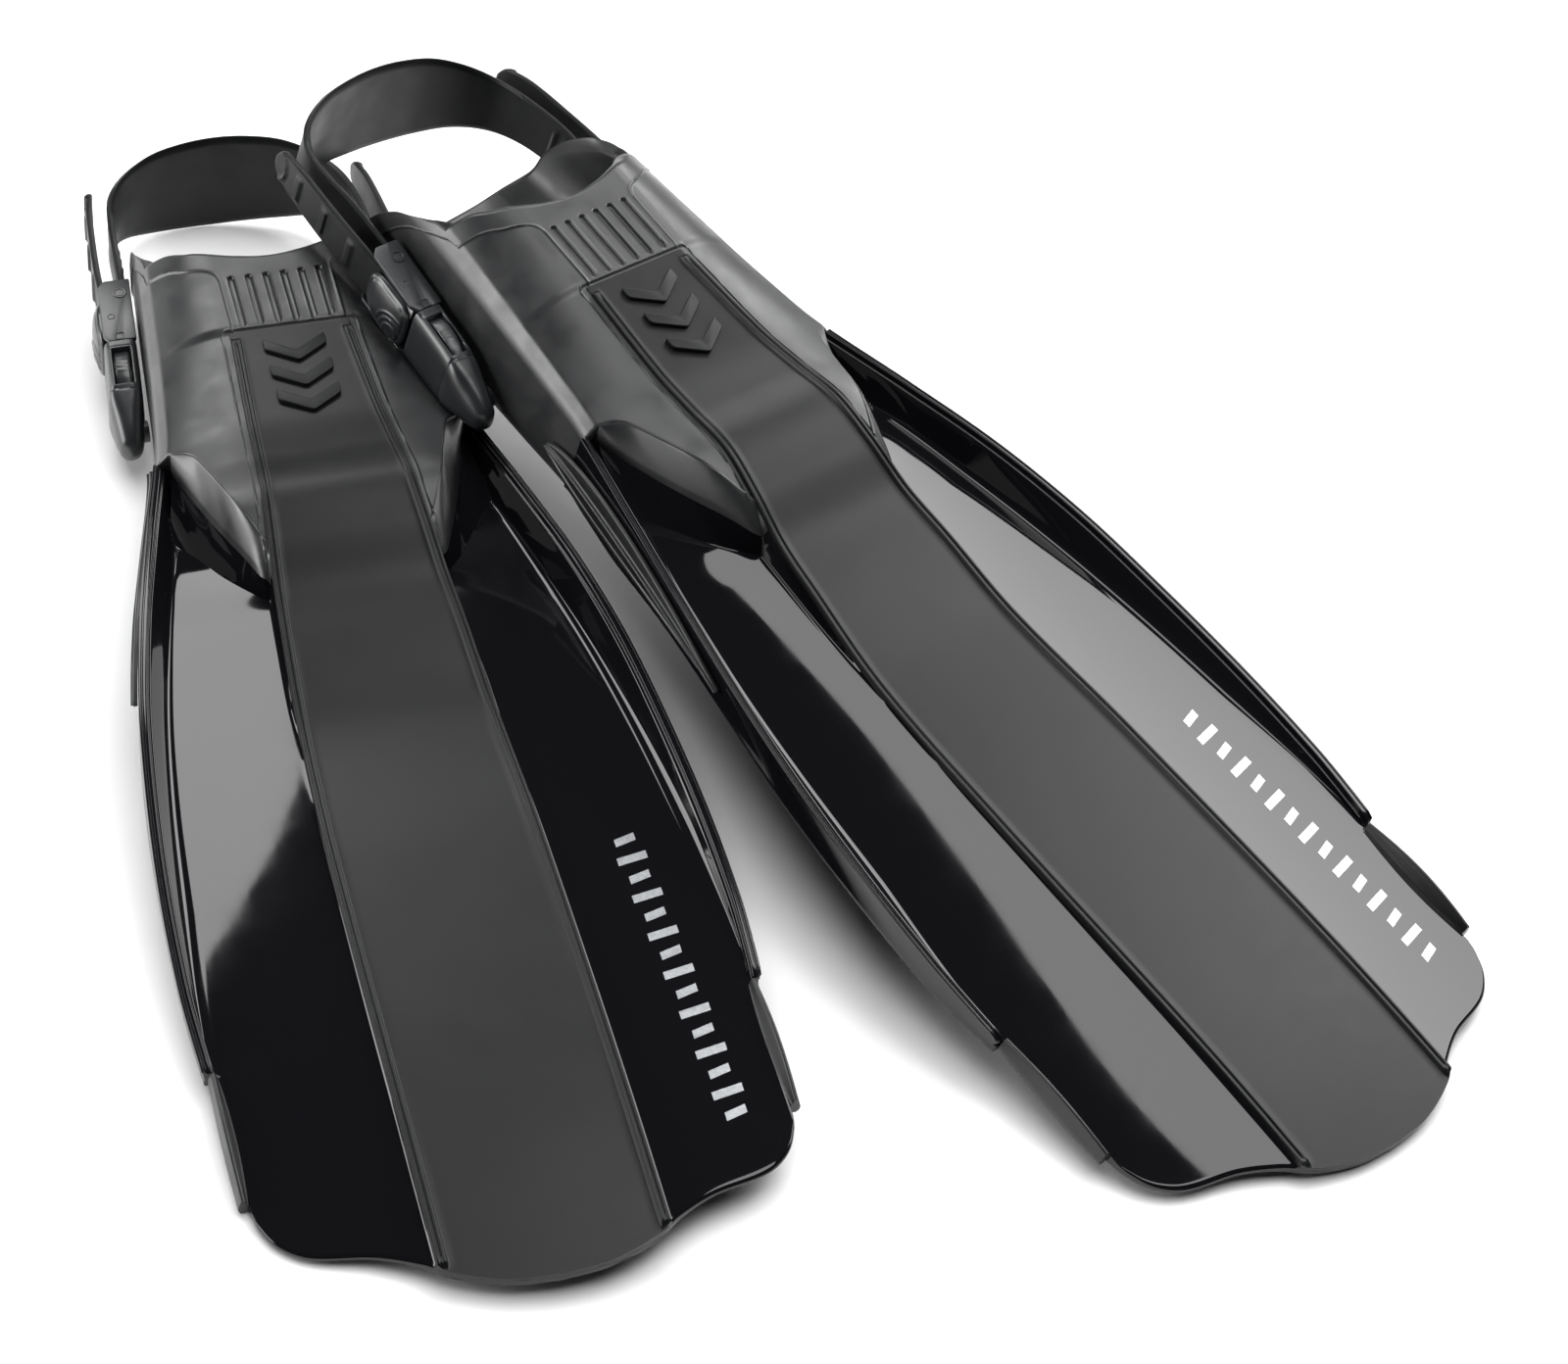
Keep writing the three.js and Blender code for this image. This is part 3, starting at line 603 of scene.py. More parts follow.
def print_marks():
    """A row of plain slanted dashes printed along the right-hand panel."""
    marks = []
    for i in range(DASHES["count"]):
        s0 = DASHES["from"] + DASHES["pitch"] * i
        half = DASHES["lengths"][i % 2] / 2
        middle = DASHES["x"] - DASHES["lean"] * (s0 - DASHES["from"])
        corners = [(middle - half, s0), (middle + half, s0 + 3), (middle + half, s0 + 7),
                   (middle - half, s0 + 4)]
        points = []
        for lift in (-0.3, 0.12):
            for x, s in corners:
                height = panel_at(s, panel_share(s, x))[1]
                points.append((x, s, float(height) + lift))
        faces = [(0, 1, 2, 3), (4, 5, 6, 7), (0, 1, 5, 4), (1, 2, 6, 5), (2, 3, 7, 6), (3, 0, 4, 7)]
        marks.append(mesh_from("dash", points, faces))
    return joined("print_marks", marks)


# ------------------------------------------------------------------ tip rails and strakes
TIP_RAIL_Y = (47, 108.5)
STRAKE_Y = (300, 453)


def eased(middle, half, count):
    """Stations that crowd towards both ends of a stretch."""
    return middle + half * np.sin(np.linspace(-np.pi / 2, np.pi / 2, count))


def lengthwise(name, stations, corners):
    """A right-hand strip along the fin; corners(s) gives its closed section."""
    table = section([(*c[:3], 3) for c in corners(stations)])
    rings = np.stack([table[..., 0], np.broadcast_to(stations[:, None], table.shape[:2]),
                      table[..., 1]], -1)
    return skin(name, rings[:, :-1])


def tip_rail():
    """The soft rail that carries a moulded rail on towards the tip."""
    def corners(s):
        t = (s - TIP_RAIL_Y[0]) / (TIP_RAIL_Y[1] - TIP_RAIL_Y[0])
        swell = 0.3 + 0.7 * np.sin(np.pi * (0.1 + 0.82 * t))
        middle = PANEL_OUT_Z(s) - SHEET / 2
        outer = 109.6 + 1.1 * swell
        inner = 106.2 - 1.4 * np.sin(np.pi * t) ** 0.8
        top, foot = middle + 2.2 + 5.6 * swell, middle - 2 - 2.4 * swell
        return [(inner, middle, 0), (inner, middle + 2, 0.3), (inner + 0.5, middle + 2.3, 0.3),
                (outer - 2.6, top, 0.6), (outer - 1.2, top, 0.6), (outer, middle + 0.6, 1),
                (outer, middle - 1, 1), (outer - 1.2, foot, 1), (inner, foot + 0.3, 1),
                (inner, middle, 0)]

    return lengthwise("tip_rail", eased(77.75, 30.75, 60), corners)


def strake():
    """A leaf-shaped strip with a middle rib, on the outside of a rail."""
    def corners(s):
        t = (s - STRAKE_Y[0]) / (STRAKE_Y[1] - STRAKE_Y[0])
        half = 0.8 + 8 * np.sin(np.pi * t ** 1.7) ** 0.55
        top_x, top_z = CREST_X(s) + CREST_HALF - 0.4, CREST_Z(s)
        down_x, down_z = WALL_X(s) + 1 - top_x, SOLE_Z(s) - top_z
        size = np.hypot(down_x, down_z)
        dx, dz = down_x / size, down_z / size
        mid_x, mid_z = top_x + down_x / 2, top_z + down_z / 2

        def at(along, off, radius):
            reach = along * half
            return mid_x + dx * reach - dz * off, mid_z + dz * reach + dx * off, radius

        return [at(0, 0.2, 0), at(-1, 0.2, 0.2), at(-0.98, 1.7, 0.7), at(-0.72, 2.1, 0.8),
                at(-0.6, 1.5, 0.8), at(-0.2, 1.5, 0.8), at(-0.08, 3.1, 0.5), at(0.08, 3.1, 0.5),
                at(0.2, 1.5, 0.8), at(0.6, 1.5, 0.8), at(0.72, 2.1, 0.8), at(0.98, 1.7, 0.7),
                at(1, 0.2, 0.2), at(0, 0.2, 0)]

    return lengthwise("strake", eased(376.5, 76.1, 90), corners)


# ------------------------------------------------------------------ strap
BAR = {"x": 66.2, "y": 572, "radius": 3}
STRAP_THICK = 3
STRAP_EDGE = 1.2
RIB_GAP = 22
FOLD_ROW = 10


def strap_path():
    """Right half of the strap's middle line with its top and bottom edge, tail end first."""
    rows = [(64.2, 659, -62, -66), (64.5, 656.5, -57.5, -69.8), (64.9, 653, -55, -71.3),
            (67, 640, -51.5, -72), (69.5, 615, -49, -71), (71.2, 590, -47, -70)]
    radius = BAR["radius"] + 0.3 + STRAP_THICK / 2
    for turn in np.linspace(0, np.pi, 9):
        rows.append((BAR["x"] + radius * np.cos(turn), BAR["y"] - radius * np.sin(turn), -47, -70))
    rows += [(60.8, 590, -47, -70.5), (59.8, 612, -47.6, -74), (58, 633, -51, -80),
             (54.5, 650, -54, -88), (46, 663, -54, -95.5), (32, 671.5, -51.5, -102),
             (16, 675.3, -50, -104.8), (0, 676.5, -49.5, -105.8)]
    return rows


def ridge_block(distance, half):
    """A flat-topped ridge with steep sides."""
    return 1 - ramp(np.abs(distance), half - 0.4, half + 0.4)


def heel_strap():
    """The whole strap, ribbed on its tails, with its tail ends folded round the buckle bars."""
    right = strap_path()
    rows = np.array(right + [(-x, *rest) for x, *rest in right[-2::-1]])
    reach = np.concatenate([[0], np.cumsum(np.hypot(*np.diff(rows[:, :2], axis=0).T))])
    along = np.concatenate([[0, 0.4, 1], np.arange(2, reach[-1] - 1.5, 0.9),
                            reach[-1] - np.array([1, 0.4, 0])])
    x, y, top, low = (line(*zip(reach, rows[:, k]))(along) for k in range(4))
    way = np.stack([np.gradient(x, along), np.gradient(y, along)], -1)
    way /= np.linalg.norm(way, axis=1, keepdims=True)
    side = np.stack([way[:, 1], -way[:, 0]], -1)
    end = np.minimum(along, reach[-1] - along)
    high = np.linspace(0, 1, 25)
    place = top[:, None] + (low - top)[:, None] * high
    wide = (top - low)[:, None]
    from_edge = np.minimum(high, 1 - high) * wide
    round_off = STRAP_EDGE * (1 - np.sqrt(1 - np.clip(1 - from_edge / STRAP_EDGE, 0, 1) ** 2))
    half = STRAP_THICK / 2 * ramp(end, -1.5, 1.0)[:, None]
    outside = half - np.minimum(round_off, half * 0.8)
    fold = float(reach[FOLD_ROW])
    middle = 1 - ramp(np.abs(high - 0.5), 0.3, 0.36)
    ribs = np.zeros_like(place)
    for i in range(3):
        ribs += ridge_block(end - (RIB_GAP + RIB_GAP * i), 2.2)[:, None] * middle
    for i in range(3):
        ribs += ridge_block(end - (fold + 32 + 6.5 * i), 1.3)[:, None] * middle * 0.8
    bow = np.hypot(end[:, None] - 3, (high - 0.5) * wide * 0.9)
    ribs += ridge(bow - 8, 0.9) * (end[:, None] > 3)
    rim = ridge(from_edge - 1.8, 0.9) * 0.35 * ramp(end, fold + 55, fold + 75)[:, None]
    inner = outside + ribs * 1.1
    outer = outside + rim
    spots = []
    for sign, thick in ((-1, inner), (1, outer)):
        spots.append(np.stack([x[:, None] + sign * side[:, 0:1] * thick,
                               y[:, None] + sign * side[:, 1:2] * thick, place], -1))
    rings = np.concatenate([spots[0], spots[1][:, ::-1]], axis=1)
    return skin("heel_strap", rings, 45)


# ------------------------------------------------------------------ buckle, right-hand side
BUCKLE_X = (61, 76)
BUCKLE_Z = (-74, -43)
SLANT = -0.085
SLANT_Y = 547
MIDDLE_Z = (BUCKLE_Z[0] + BUCKLE_Z[1]) / 2
WINDOW = {"x": (64.6, 73), "y": (514.5, 536.5)}
CHEEK = 2.5
NOSE_TIP = 483.5
NOSE_END = 541
PART_LINE = 511.5


def slanted(mesh):
    """Slants a buckle piece so that it follows the narrowing side of the foot pocket."""
    slant = Matrix.Identity(4)
    slant[0][1] = SLANT
    slant[0][3] = -SLANT * SLANT_Y * MM
    mesh.transform(slant)
    return mesh


def buckle_nose():
    """A solid blunt cone with a recess in its top and bottom, and a part line behind the cone."""
    stations = np.concatenate([NOSE_TIP + np.array([0, 0.3, 0.9, 1.8, 3]),
                               np.arange(487.5, 541.2, 0.55), [541.3, 541.5]])
    x_in = line((NOSE_TIP, 65.6), (488, 63.2), (500, 61.4), (514, 61), (NOSE_END, 61))
    x_out = line((NOSE_TIP, 71), (488, 74), (500, 76.4), (508, 77.2), (514, 76.6),
                 (NOSE_END, 76.3))
    z_low = line((NOSE_TIP, -62.5), (488, -66), (500, -69.4), (514, -71.4), (NOSE_END, -72.5))
    z_high = line((NOSE_TIP, -57), (488, -52), (500, -46.8), (512, -43.4), (NOSE_END, -43))
    power = line((NOSE_TIP, 2.2), (500, 2.8), (516, 5), (NOSE_END, 6))
    turn = np.linspace(0, 2 * np.pi, 145)[:-1]
    s = stations[:, None]
    mid_x, mid_z = (x_in(s) + x_out(s)) / 2, (z_low(s) + z_high(s)) / 2
    half_x, half_z = (x_out(s) - x_in(s)) / 2, (z_high(s) - z_low(s)) / 2
    cap = np.sqrt(np.clip(1 - np.clip(1 - (s - NOSE_TIP) / 3, 0, 1) ** 2, 0.04, 1))
    c, d = np.cos(turn), np.sin(turn)
    x = mid_x + half_x * cap * np.sign(c) * np.abs(c) ** (2 / power(s))
    z = mid_z + half_z * cap * np.sign(d) * np.abs(d) ** (2 / power(s))
    (x0, x1), (y0, y1) = WINDOW["x"], WINDOW["y"]
    inside = np.minimum(np.minimum(x - x0, x1 - x), np.minimum(s - y0, y1 - s))
    recess = 4.5 * ramp(inside, -0.25, 0.45) * (np.abs(z - mid_z) > 0.6 * half_z)
    lip = 0.35 * ridge(inside + 0.9, 0.7) * (np.abs(z - mid_z) > 0.6 * half_z)
    z = z - np.sign(z - mid_z) * (recess - lip)
    groove = 0.35 * ridge(s - PART_LINE - 0.12 * (x - mid_x), 0.45)
    x = x - np.sign(x - mid_x) * groove * (np.abs(x - mid_x) > 0.7 * half_x)
    z = z - np.sign(z - mid_z) * groove * (np.abs(z - mid_z) > 0.7 * half_z)
    rings = np.stack([x, np.broadcast_to(s, x.shape), z], -1)
    return slanted(skin("buckle_nose", rings, 38))


def release_tab(way):
    """A curved thumb tab that stands in a recess of the nose; way is 1 on top and -1 below."""
    reach = (BUCKLE_Z[1] - MIDDLE_Z) if way > 0 else 12.5
    y0, y1 = WINDOW["y"]
    stations = y0 + 0.6 + (y1 - y0 - 1.2) * (0.5 - 0.5 * np.cos(np.linspace(0, np.pi, 40)))
    top = line((y0, reach - 3.2), (y0 + 4, reach - 0.7), (y0 + 11, reach + 0.5),
               (y1 - 5, reach + 0.1), (y1, reach - 2.4))(stations)
    grip = 0.35 * sum(ridge(stations - (y0 + 8 + 2.6 * i), 0.55) for i in range(3))
    low = np.full_like(stations, reach - 6.2)
    x0, x1 = 65.3, 72.3
    table = section([((x0 + x1) / 2, low, 0, 2), (x0, low, 0.5, 3), (x0, top, 1.2, 5, 0.15),
                     (x1, top, 1.2, 3), (x1, low, 0.5, 2), ((x0 + x1) / 2, low, 0, 1)])
    lift = grip[:, None] * (table[..., 1] > (top - 0.5)[:, None])
    rings = np.stack([table[..., 0], np.broadcast_to(stations[:, None], table.shape[:2]),
                      MIDDLE_Z + way * (table[..., 1] + lift)], -1)
    return slanted(skin(f"release_tab_{way}", rings[:, :-1], 40))


def disc(name, at, profile):
    """A round boss about Z through at, on a profile of (radius, height) points."""
    turn = np.linspace(0, 2 * np.pi, DISC_STEPS + 1)[:-1]
    rings = np.array([[(at[0] + r * np.cos(a), at[1] + r * np.sin(a), h) for a in turn]
                      for r, h in profile])
    return skin(name, rings, 35)


def strap_frame():
    """Two cheeks with hooked front ends and pin heads, the bridge between them and the tongue."""
    x0, x1 = BUCKLE_X
    low, high = BUCKLE_Z
    cheek = soft_outline([(x0, 541.8), (66.5, 541.8), (66.5, 546.2), (70, 546.2), (70, 541.8),
                          (73.5, 541.8), (x1, 546), (x1, 577), (x1 - 3, 581), (x0, 581)], 1.1)
    bridge = soft_outline([(61.5, 542.4), (71.5, 542.4), (71.5, 548), (61.5, 548)], 0.8)
    tongue = soft_outline([(65, 515), (69.2, 515), (69.2, 543), (65, 543)], 0.6)
    parts = [plate("cheek", cheek, low, low + CHEEK, 0.45),
             plate("cheek", cheek, high - CHEEK, high, 0.45),
             plate("bridge", bridge, low + 0.4, high - 0.4, 0.5),
             plate("tongue", tongue, -61.4, -52.6, 0.4)]
    for face, way in ((high, 1), (low, -1)):
        ring = [(3.2, -0.6), (3.2, 0.25), (3.0, 0.42), (2.55, 0.42), (2.4, 0.25), (2.4, 0.05),
                (2.1, 0.05), (1.9, 0.3), (0.4, 0.36)]
        parts.append(disc("head", (BAR["x"], BAR["y"]), [(r, face + way * h) for r, h in ring]))
        dot = [(1.75, -0.6), (1.75, 0.12), (1.6, 0.2), (1.35, 0.2), (1.2, 0.02), (1.1, -0.4),
               (0.3, -0.4)]
        parts.append(disc("dot", (71.4, 557.3), [(r, face + way * h) for r, h in dot]))
    return slanted(joined("strap_frame", parts, 32))


def lock_lever():
    """The thumb lever: a bulging, tear-shaped plate with curved grip ridges."""
    front, back = 543.3, 575.2
    y_mid, z_mid = (front + back) / 2, MIDDLE_Z
    shares = np.concatenate([np.linspace(0, 0.9, 34), [0.93, 0.96, 0.98, 0.993, 1]])
    turn = np.linspace(0, 2 * np.pi, 121)[:-1]
    c, d = np.cos(turn), np.sin(turn)
    half_z = 12.8 - 1.6 * c
    rim_y = y_mid + (back - front) / 2 * np.sign(c) * np.abs(c) ** 0.62
    rim_z = z_mid + half_z * np.sign(d) * np.abs(d) ** 0.66
    rings = []
    for share in shares:
        y = y_mid + (rim_y - y_mid) * share
        z = z_mid + (rim_z - z_mid) * share
        bulge = np.sqrt(np.clip(1 - share ** 2.6, 0, 1))
        dome = 76.2 + 4.0 * bulge * (1 - 0.35 * ((y - y_mid) / 16) ** 2)
        away = np.hypot(y - (front + 8), (z - z_mid + 7) * 0.9)
        grip = sum(ridge(away - r, 0.6) for r in (4.2, 7.0, 9.8)) * ramp(1 - share, 0.05, 0.2)
        seam = 0.5 * ridge(share - 0.86, 0.025)
        rings.append(np.stack([dome + 0.45 * grip - seam, y, z], -1))
    for share, depth in ((1, 75.6), (0.97, 75.2), (0.05, 75.2)):
        y = y_mid + (rim_y - y_mid) * share
        z = z_mid + (rim_z - z_mid) * share
        rings.append(np.stack([np.full_like(y, depth), y, z], -1))
    rings = np.array(rings[1:])
    foot = soft_outline([(69.8, 554.2), (75.8, 554.2), (75.8, 560.4), (69.8, 560.4)], 1)
    boss = plate("boss", foot, MIDDLE_Z - 9, MIDDLE_Z + 9, 0.4)
    return slanted(joined("lock_lever", [skin("lever_plate", rings, 40), boss], 40))


# ------------------------------------------------------------------ materials
NOISE_LOW, NOISE_HIGH = 0.3, 0.7
RUBBER_GRAIN = 0.22


class Nodes:
    """A material with a Principled shader, and short calls for the nodes that feed it."""

    def __init__(self, name, color, roughness, **sockets):
        self.material = bpy.data.materials.new(name)
        self.material.use_nodes = True
        self.tree = self.material.node_tree
        self.shader = self.tree.nodes["Principled BSDF"]
        self.shader.inputs["Base Color"].default_value = (*color, 1)
        self.shader.inputs["Roughness"].default_value = roughness
        for socket, value in sockets.items():
            self.shader.inputs[socket.replace("_", " ")].default_value = value
        self.place = self.tree.nodes.new("ShaderNodeTexCoord").outputs["Object"]

    def stretched(self, scale):
        node = self.tree.nodes.new("ShaderNodeMapping")
        node.inputs["Scale"].default_value = scale
        self.tree.links.new(self.place, node.inputs["Vector"])
        return node.outputs["Vector"]

    def noise(self, scale, detail=3, place=None, rough=0.5):
        node = self.tree.nodes.new("ShaderNodeTexNoise")
        node.inputs["Scale"].default_value = scale
        node.inputs["Detail"].default_value = detail
        node.inputs["Roughness"].default_value = rough
        self.tree.links.new(place or self.place, node.inputs["Vector"])
        return node.outputs["Fac"]

    def spread(self, value, low, high):
        node = self.tree.nodes.new("ShaderNodeMapRange")
        span = {"From Min": NOISE_LOW, "From Max": NOISE_HIGH, "To Min": low, "To Max": high}
        for socket, number in span.items():
            node.inputs[socket].default_value = number
        self.tree.links.new(value, node.inputs["Value"])
        return node.outputs["Result"]

    def colours(self, value, low, high):
        node = self.tree.nodes.new("ShaderNodeValToRGB")
        node.color_ramp.elements[0].position = NOISE_LOW
        node.color_ramp.elements[1].position = NOISE_HIGH
        node.color_ramp.elements[0].color = (*low, 1)
        node.color_ramp.elements[1].color = (*high, 1)
        self.tree.links.new(value, node.inputs["Fac"])
        self.tree.links.new(node.outputs["Color"], self.shader.inputs["Base Color"])

    def roughness(self, value):
        self.tree.links.new(value, self.shader.inputs["Roughness"])

    def bumps(self, *layers):
        """Bumps one over another; a layer is (height, strength, distance in metres)."""
        normal = None
        for height, strength, distance in layers:
            node = self.tree.nodes.new("ShaderNodeBump")
            node.inputs["Strength"].default_value = strength
            node.inputs["Distance"].default_value = distance
            self.tree.links.new(height, node.inputs["Height"])
            if normal:
                self.tree.links.new(normal, node.inputs["Normal"])
            normal = node.outputs["Normal"]
        self.tree.links.new(normal, self.shader.inputs["Normal"])


def gloss_plastic():
    """Polished black moulding: a faint swell in the surface, hair scratches and dust-fine haze."""
    m = Nodes("gloss_black", (0.004, 0.004, 0.005), 0.05, IOR=1.5)
    haze = m.noise(60, 4)
    hair = m.noise(900, 2, m.stretched((1, 0.04, 1)))
    m.roughness(m.spread(haze, 0.03, 0.055))
    m.bumps((m.noise(14, 1), 0.02, 0.0006), (hair, 0.015, 0.00004))
    return m.material


def rubber(name, low, high, roughness, shine=0.5):
    """Moulded rubber: a fine grain, slightly blotchy sheen and faint flow marks."""
    m = Nodes(name, high, roughness, IOR=1.5, Specular_IOR_Level=shine)
    blotch = m.noise(28, 4)
    m.colours(blotch, low, high)
    m.roughness(m.spread(m.noise(75, 5), roughness - 0.06, roughness + 0.08))
    flow = m.noise(120, 3, m.stretched((1, 0.25, 1)))
    m.bumps((flow, 0.06, 0.0003), (m.noise(2600, 2), RUBBER_GRAIN, 0.00008))
    return m.material


def grained_plastic(name, color, roughness, scale, strength, shine=0.5):
    """Spark-eroded plastic: an even, fine texture over a slightly uneven sheen."""
    m = Nodes(name, color, roughness, IOR=1.5, Specular_IOR_Level=shine)
    m.colours(m.noise(40, 4), tuple(0.8 * c for c in color), tuple(1.15 * c for c in color))
    m.roughness(m.spread(m.noise(90, 4), roughness - 0.015, roughness + 0.02))
    m.bumps((m.noise(scale, 3, rough=0.6), strength, 0.00012))
    return m.material


def steel():
    m = Nodes("pin_steel", (0.5, 0.5, 0.51), 0.3, Metallic=1)
    m.roughness(m.spread(m.noise(300, 3), 0.22, 0.4))
    m.bumps((m.noise(1500, 2, m.stretched((1, 1, 0.1))), 0.08, 0.00005))
    return m.material


def silver_print():
    m = Nodes("silver_print", (0.42, 0.43, 0.44), 0.35, Metallic=0.75)
    m.colours(m.noise(800, 3), (0.34, 0.35, 0.37), (0.46, 0.47, 0.48))
    m.roughness(m.spread(m.noise(500, 2), 0.28, 0.42))
    return m.material


# ------------------------------------------------------------------ the fins in their places
def joint(name):
    """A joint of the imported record, by name."""
    return next(j for j in frame["joints"] if j["name"] == name)


def place_of(fin):
    """The fin's frame in the row frame, from its swivel, its strap's slide and its tab's slide."""
    swivel = joint(f"{fin}_swivel_left")
    across = Vector(swivel["axis"])
    along = Vector(joint(f"{fin}_strap_release")["axis"])
    up = Vector(joint(f"{fin}_tab_lower_left_press")["axis"])
    turn = Matrix((across, along, up)).transposed()
    stud = Vector((0, 497, -58.5)) * MM
    return Matrix.Translation(Vector(swivel["pos_m"]) - turn @ stud) @ turn.to_4x4()


def show(mesh, name, fin, body, node, material):
    """Puts a copy of a mesh in its fin's place, riding a body and standing in for a CAD node."""
    own = mesh.copy()
    own.transform(place_of(fin))
    own.materials.clear()
    own.materials.append(material)
    obj = bpy.data.objects.new(name, own)
    bpy.context.scene.collection.objects.link(obj)
    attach(obj, body)
    if node:
        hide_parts(node)
    return obj


MATERIALS = {
    "gloss_blade": gloss_plastic(),
    # The pocket rubber is the same dark rubber, but its base colour is set lighter than the strap and trim rubber
    # as painted sheen, for the light the pocket catches from the left and from above.
    "pocket_rubber": rubber("pocket_rubber", (0.009, 0.0094, 0.0102), (0.0135, 0.0141, 0.0152),
                            0.38, 0.95),
    "strap_rubber": rubber("strap_rubber", (0.005, 0.0053, 0.0057), (0.0085, 0.0089, 0.0096),
                           0.42, 0.3),
    "trim_rubber": rubber("trim_rubber", (0.005, 0.0053, 0.0056), (0.0085, 0.0088, 0.0093), 0.33),
    "matte_panel": grained_plastic("matte_panel", (0.004, 0.0042, 0.0046), 0.34, 1500, 0.2, 0.38),
    "buckle_plastic": grained_plastic("buckle_plastic", (0.013, 0.014, 0.0155), 0.32, 1900, 0.25,
                                      0.95),
    "lever_plastic": grained_plastic("lever_plastic", (0.012, 0.013, 0.0145), 0.29, 2100, 0.15,
                                     0.95),
    "pin_steel": steel(),
}
PRINT = silver_print()

pocket = foot_pocket()
pocket_front, _ = pocket_grid()
toe_row = pocket_front[5]
top_count = int(np.argmax(toe_row[:, 0]))
blade_rows = blade_grid(toe_row[:top_count, 0], toe_row[:top_count, 2])
common = {
    "blade": (skin("blade", whole(blade_rows), 32, (0, -1)), "gloss_blade"),
    "foot_pocket": (pocket, "pocket_rubber"),
    "centre_panel": (centre_panel(), "matte_panel"),
}
strap = heel_strap()
marks = instep_marks()
caps = toe_caps(blade_rows)
dashes = print_marks()
sided = {
    "tip_rail": (tip_rail(), "trim_rubber", "fin"),
    "strake": (strake(), "trim_rubber", "fin"),
    "buckle_nose": (buckle_nose(), "buckle_plastic", "buckle_{side}"),
    "release_tab_upper": (release_tab(1), "buckle_plastic", "tab_upper_{side}"),
    "release_tab_lower": (release_tab(-1), "buckle_plastic", "tab_lower_{side}"),
    "strap_frame": (strap_frame(), "buckle_plastic", "strap_set"),
    "lock_lever": (lock_lever(), "lever_plastic", "lever_{side}"),
}

for fin in FINS:
    for part, (mesh, finish) in common.items():
        show(mesh, f"{fin}_{part}_look", fin, f"{fin}_fin", f"{fin}_{part}",
             MATERIALS[finish])
    show(caps, f"{fin}_toe_caps", fin, f"{fin}_fin", None,
         MATERIALS["pocket_rubber"])
    show(marks, f"{fin}_instep_marks", fin, f"{fin}_fin", None,
         MATERIALS["strap_rubber"])
    show(dashes, f"{fin}_printed_dashes", fin, f"{fin}_fin", None, PRINT)
    show(strap, f"{fin}_heel_strap_look", fin, f"{fin}_strap_set", f"{fin}_heel_strap",
         MATERIALS["strap_rubber"])

for part, (mesh, finish, body) in sided.items():
    meshes = {"right": mesh, "left": flipped(mesh, f"{part}_left")}
    for fin in FINS:
        for side in SIDES:
            show(meshes[side], f"{fin}_{part}_{side}_look", fin, f"{fin}_{body.format(side=side)}",
                 f"{fin}_{part}_{side}", MATERIALS[finish])

slots = {row["node"]: row["material_slot"] for row in frame["record"]["subparts"]}
for name, node in frame["nodes"].items():
    node.data.materials.clear()
    node.data.materials.append(MATERIALS[slots[name]])


# ------------------------------------------------------------------ camera, floor and light
CAMERA_PLACE = (-0.4986, -1.2778, 1.1598)
CAMERA_RIGHT = (0.9503, -0.2888, 0.1159)
CAMERA_UP = (0.1071, 0.6533, 0.7495)
FLOOR_HALF = 12


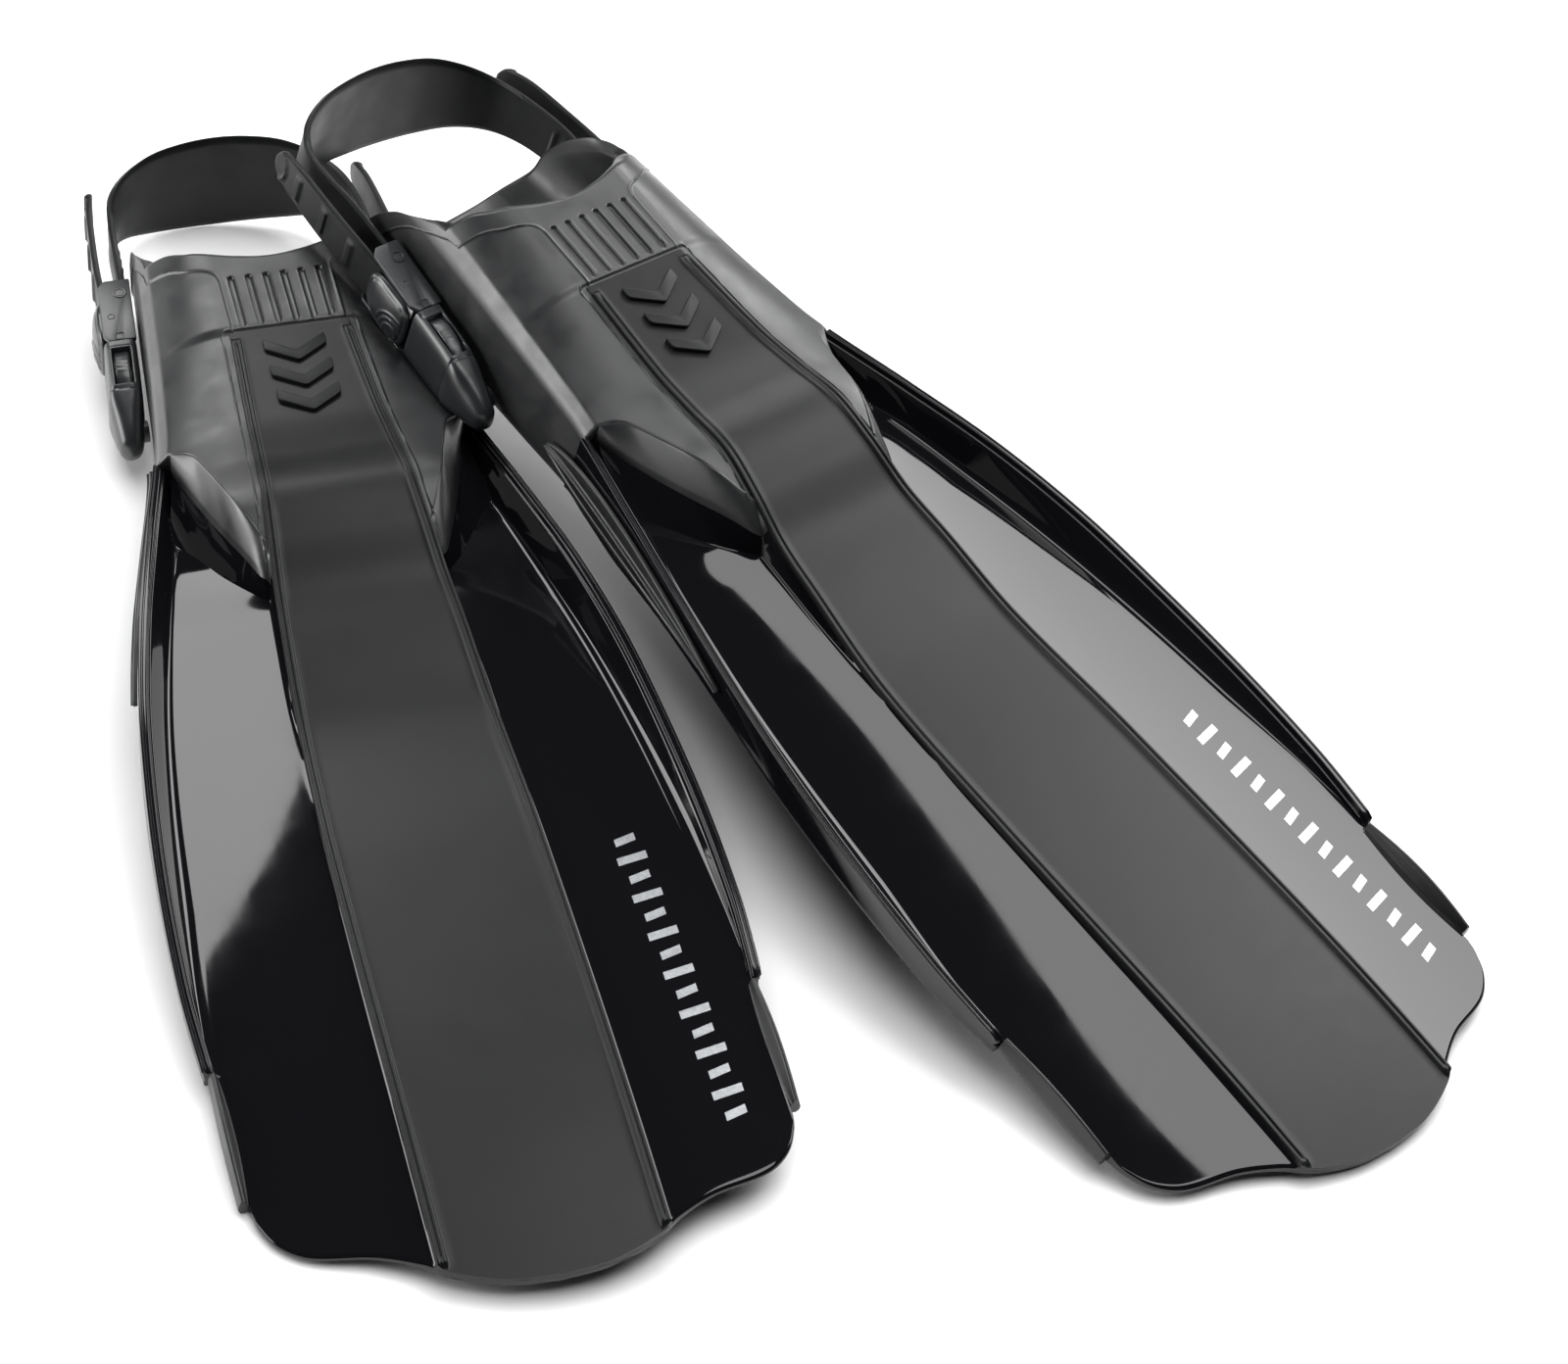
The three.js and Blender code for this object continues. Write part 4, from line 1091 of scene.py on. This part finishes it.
def camera():
    data = bpy.data.cameras.new("camera")
    data.lens = 92.86
    data.sensor_width = 36
    data.shift_x = 0.0125
    data.shift_y = 0.0069
    data.clip_start = 0.05
    data.clip_end = 50
    obj = bpy.data.objects.new("camera", data)
    bpy.context.scene.collection.objects.link(obj)
    right = Vector(CAMERA_RIGHT).normalized()
    up = Vector(CAMERA_UP)
    up = (up - right * up.dot(right)).normalized()
    turn = Matrix((right, up, right.cross(up))).transposed()
    obj.matrix_world = Matrix.Translation(CAMERA_PLACE) @ turn.to_4x4()
    bpy.context.scene.camera = obj


def floor():
    mesh = bpy.data.meshes.new("floor")
    corners = [(x * FLOOR_HALF, y * FLOOR_HALF, 0) for x, y in ((-1, -1), (1, -1), (1, 1), (-1, 1))]
    mesh.from_pydata(corners, [], [(0, 1, 2, 3)])
    m = Nodes("floor", (0.86, 0.86, 0.86), 0.9)
    m.colours(m.noise(6, 3), (0.85, 0.85, 0.85), (0.88, 0.88, 0.88))
    mesh.materials.append(m.material)
    obj = bpy.data.objects.new("floor", mesh)
    bpy.context.scene.collection.objects.link(obj)


def softbox(name, centre, size, turns, brightness, mirrored=True):
    """A panel of light. It faces down, then is turned about X, Y and Z by angles in degrees."""
    data = bpy.data.lights.new(name, "AREA")
    data.shape = "RECTANGLE"
    data.size, data.size_y = size
    data.energy = brightness * np.pi * size[0] * size[1]
    obj = bpy.data.objects.new(name, data)
    bpy.context.scene.collection.objects.link(obj)
    obj.location = centre
    obj.rotation_euler = np.radians(turns)
    obj.visible_glossy = mirrored
    obj.visible_camera = False


def studio():
    world = bpy.data.worlds.new("studio")
    world.use_nodes = True
    world.node_tree.nodes["Background"].inputs["Color"].default_value = (1, 1, 1, 1)
    world.node_tree.nodes["Background"].inputs["Strength"].default_value = 0.02
    bpy.context.scene.world = world
    softbox("left_box", (-0.6, 1.64, 1.6), (0.57, 1.7), (0, 0, 43.3), 5.8)
    softbox("toe_box", (0.86, 2.05, 1.6), (0.68, 1.1), (0, 0, 0), 5.5)
    softbox("right_box", (2.05, 1.35, 1.6), (1.9, 2.6), (0, 0, 0), 5.7)
    softbox("near_box", (0.439, 0.018, 1.6), (0.45, 1.15), (0, 0, 35.6), 4.5)
    softbox("side_box", (-2.3, 0.7, 0.75), (1.1, 2.6), (0, -80, 0), 6)
    softbox("fill", (0, 0, 4.5), (5, 5), (0, 0, 0), 3.4, mirrored=False)
    bpy.context.scene.view_settings.view_transform = "Standard"


camera()
floor()
studio()
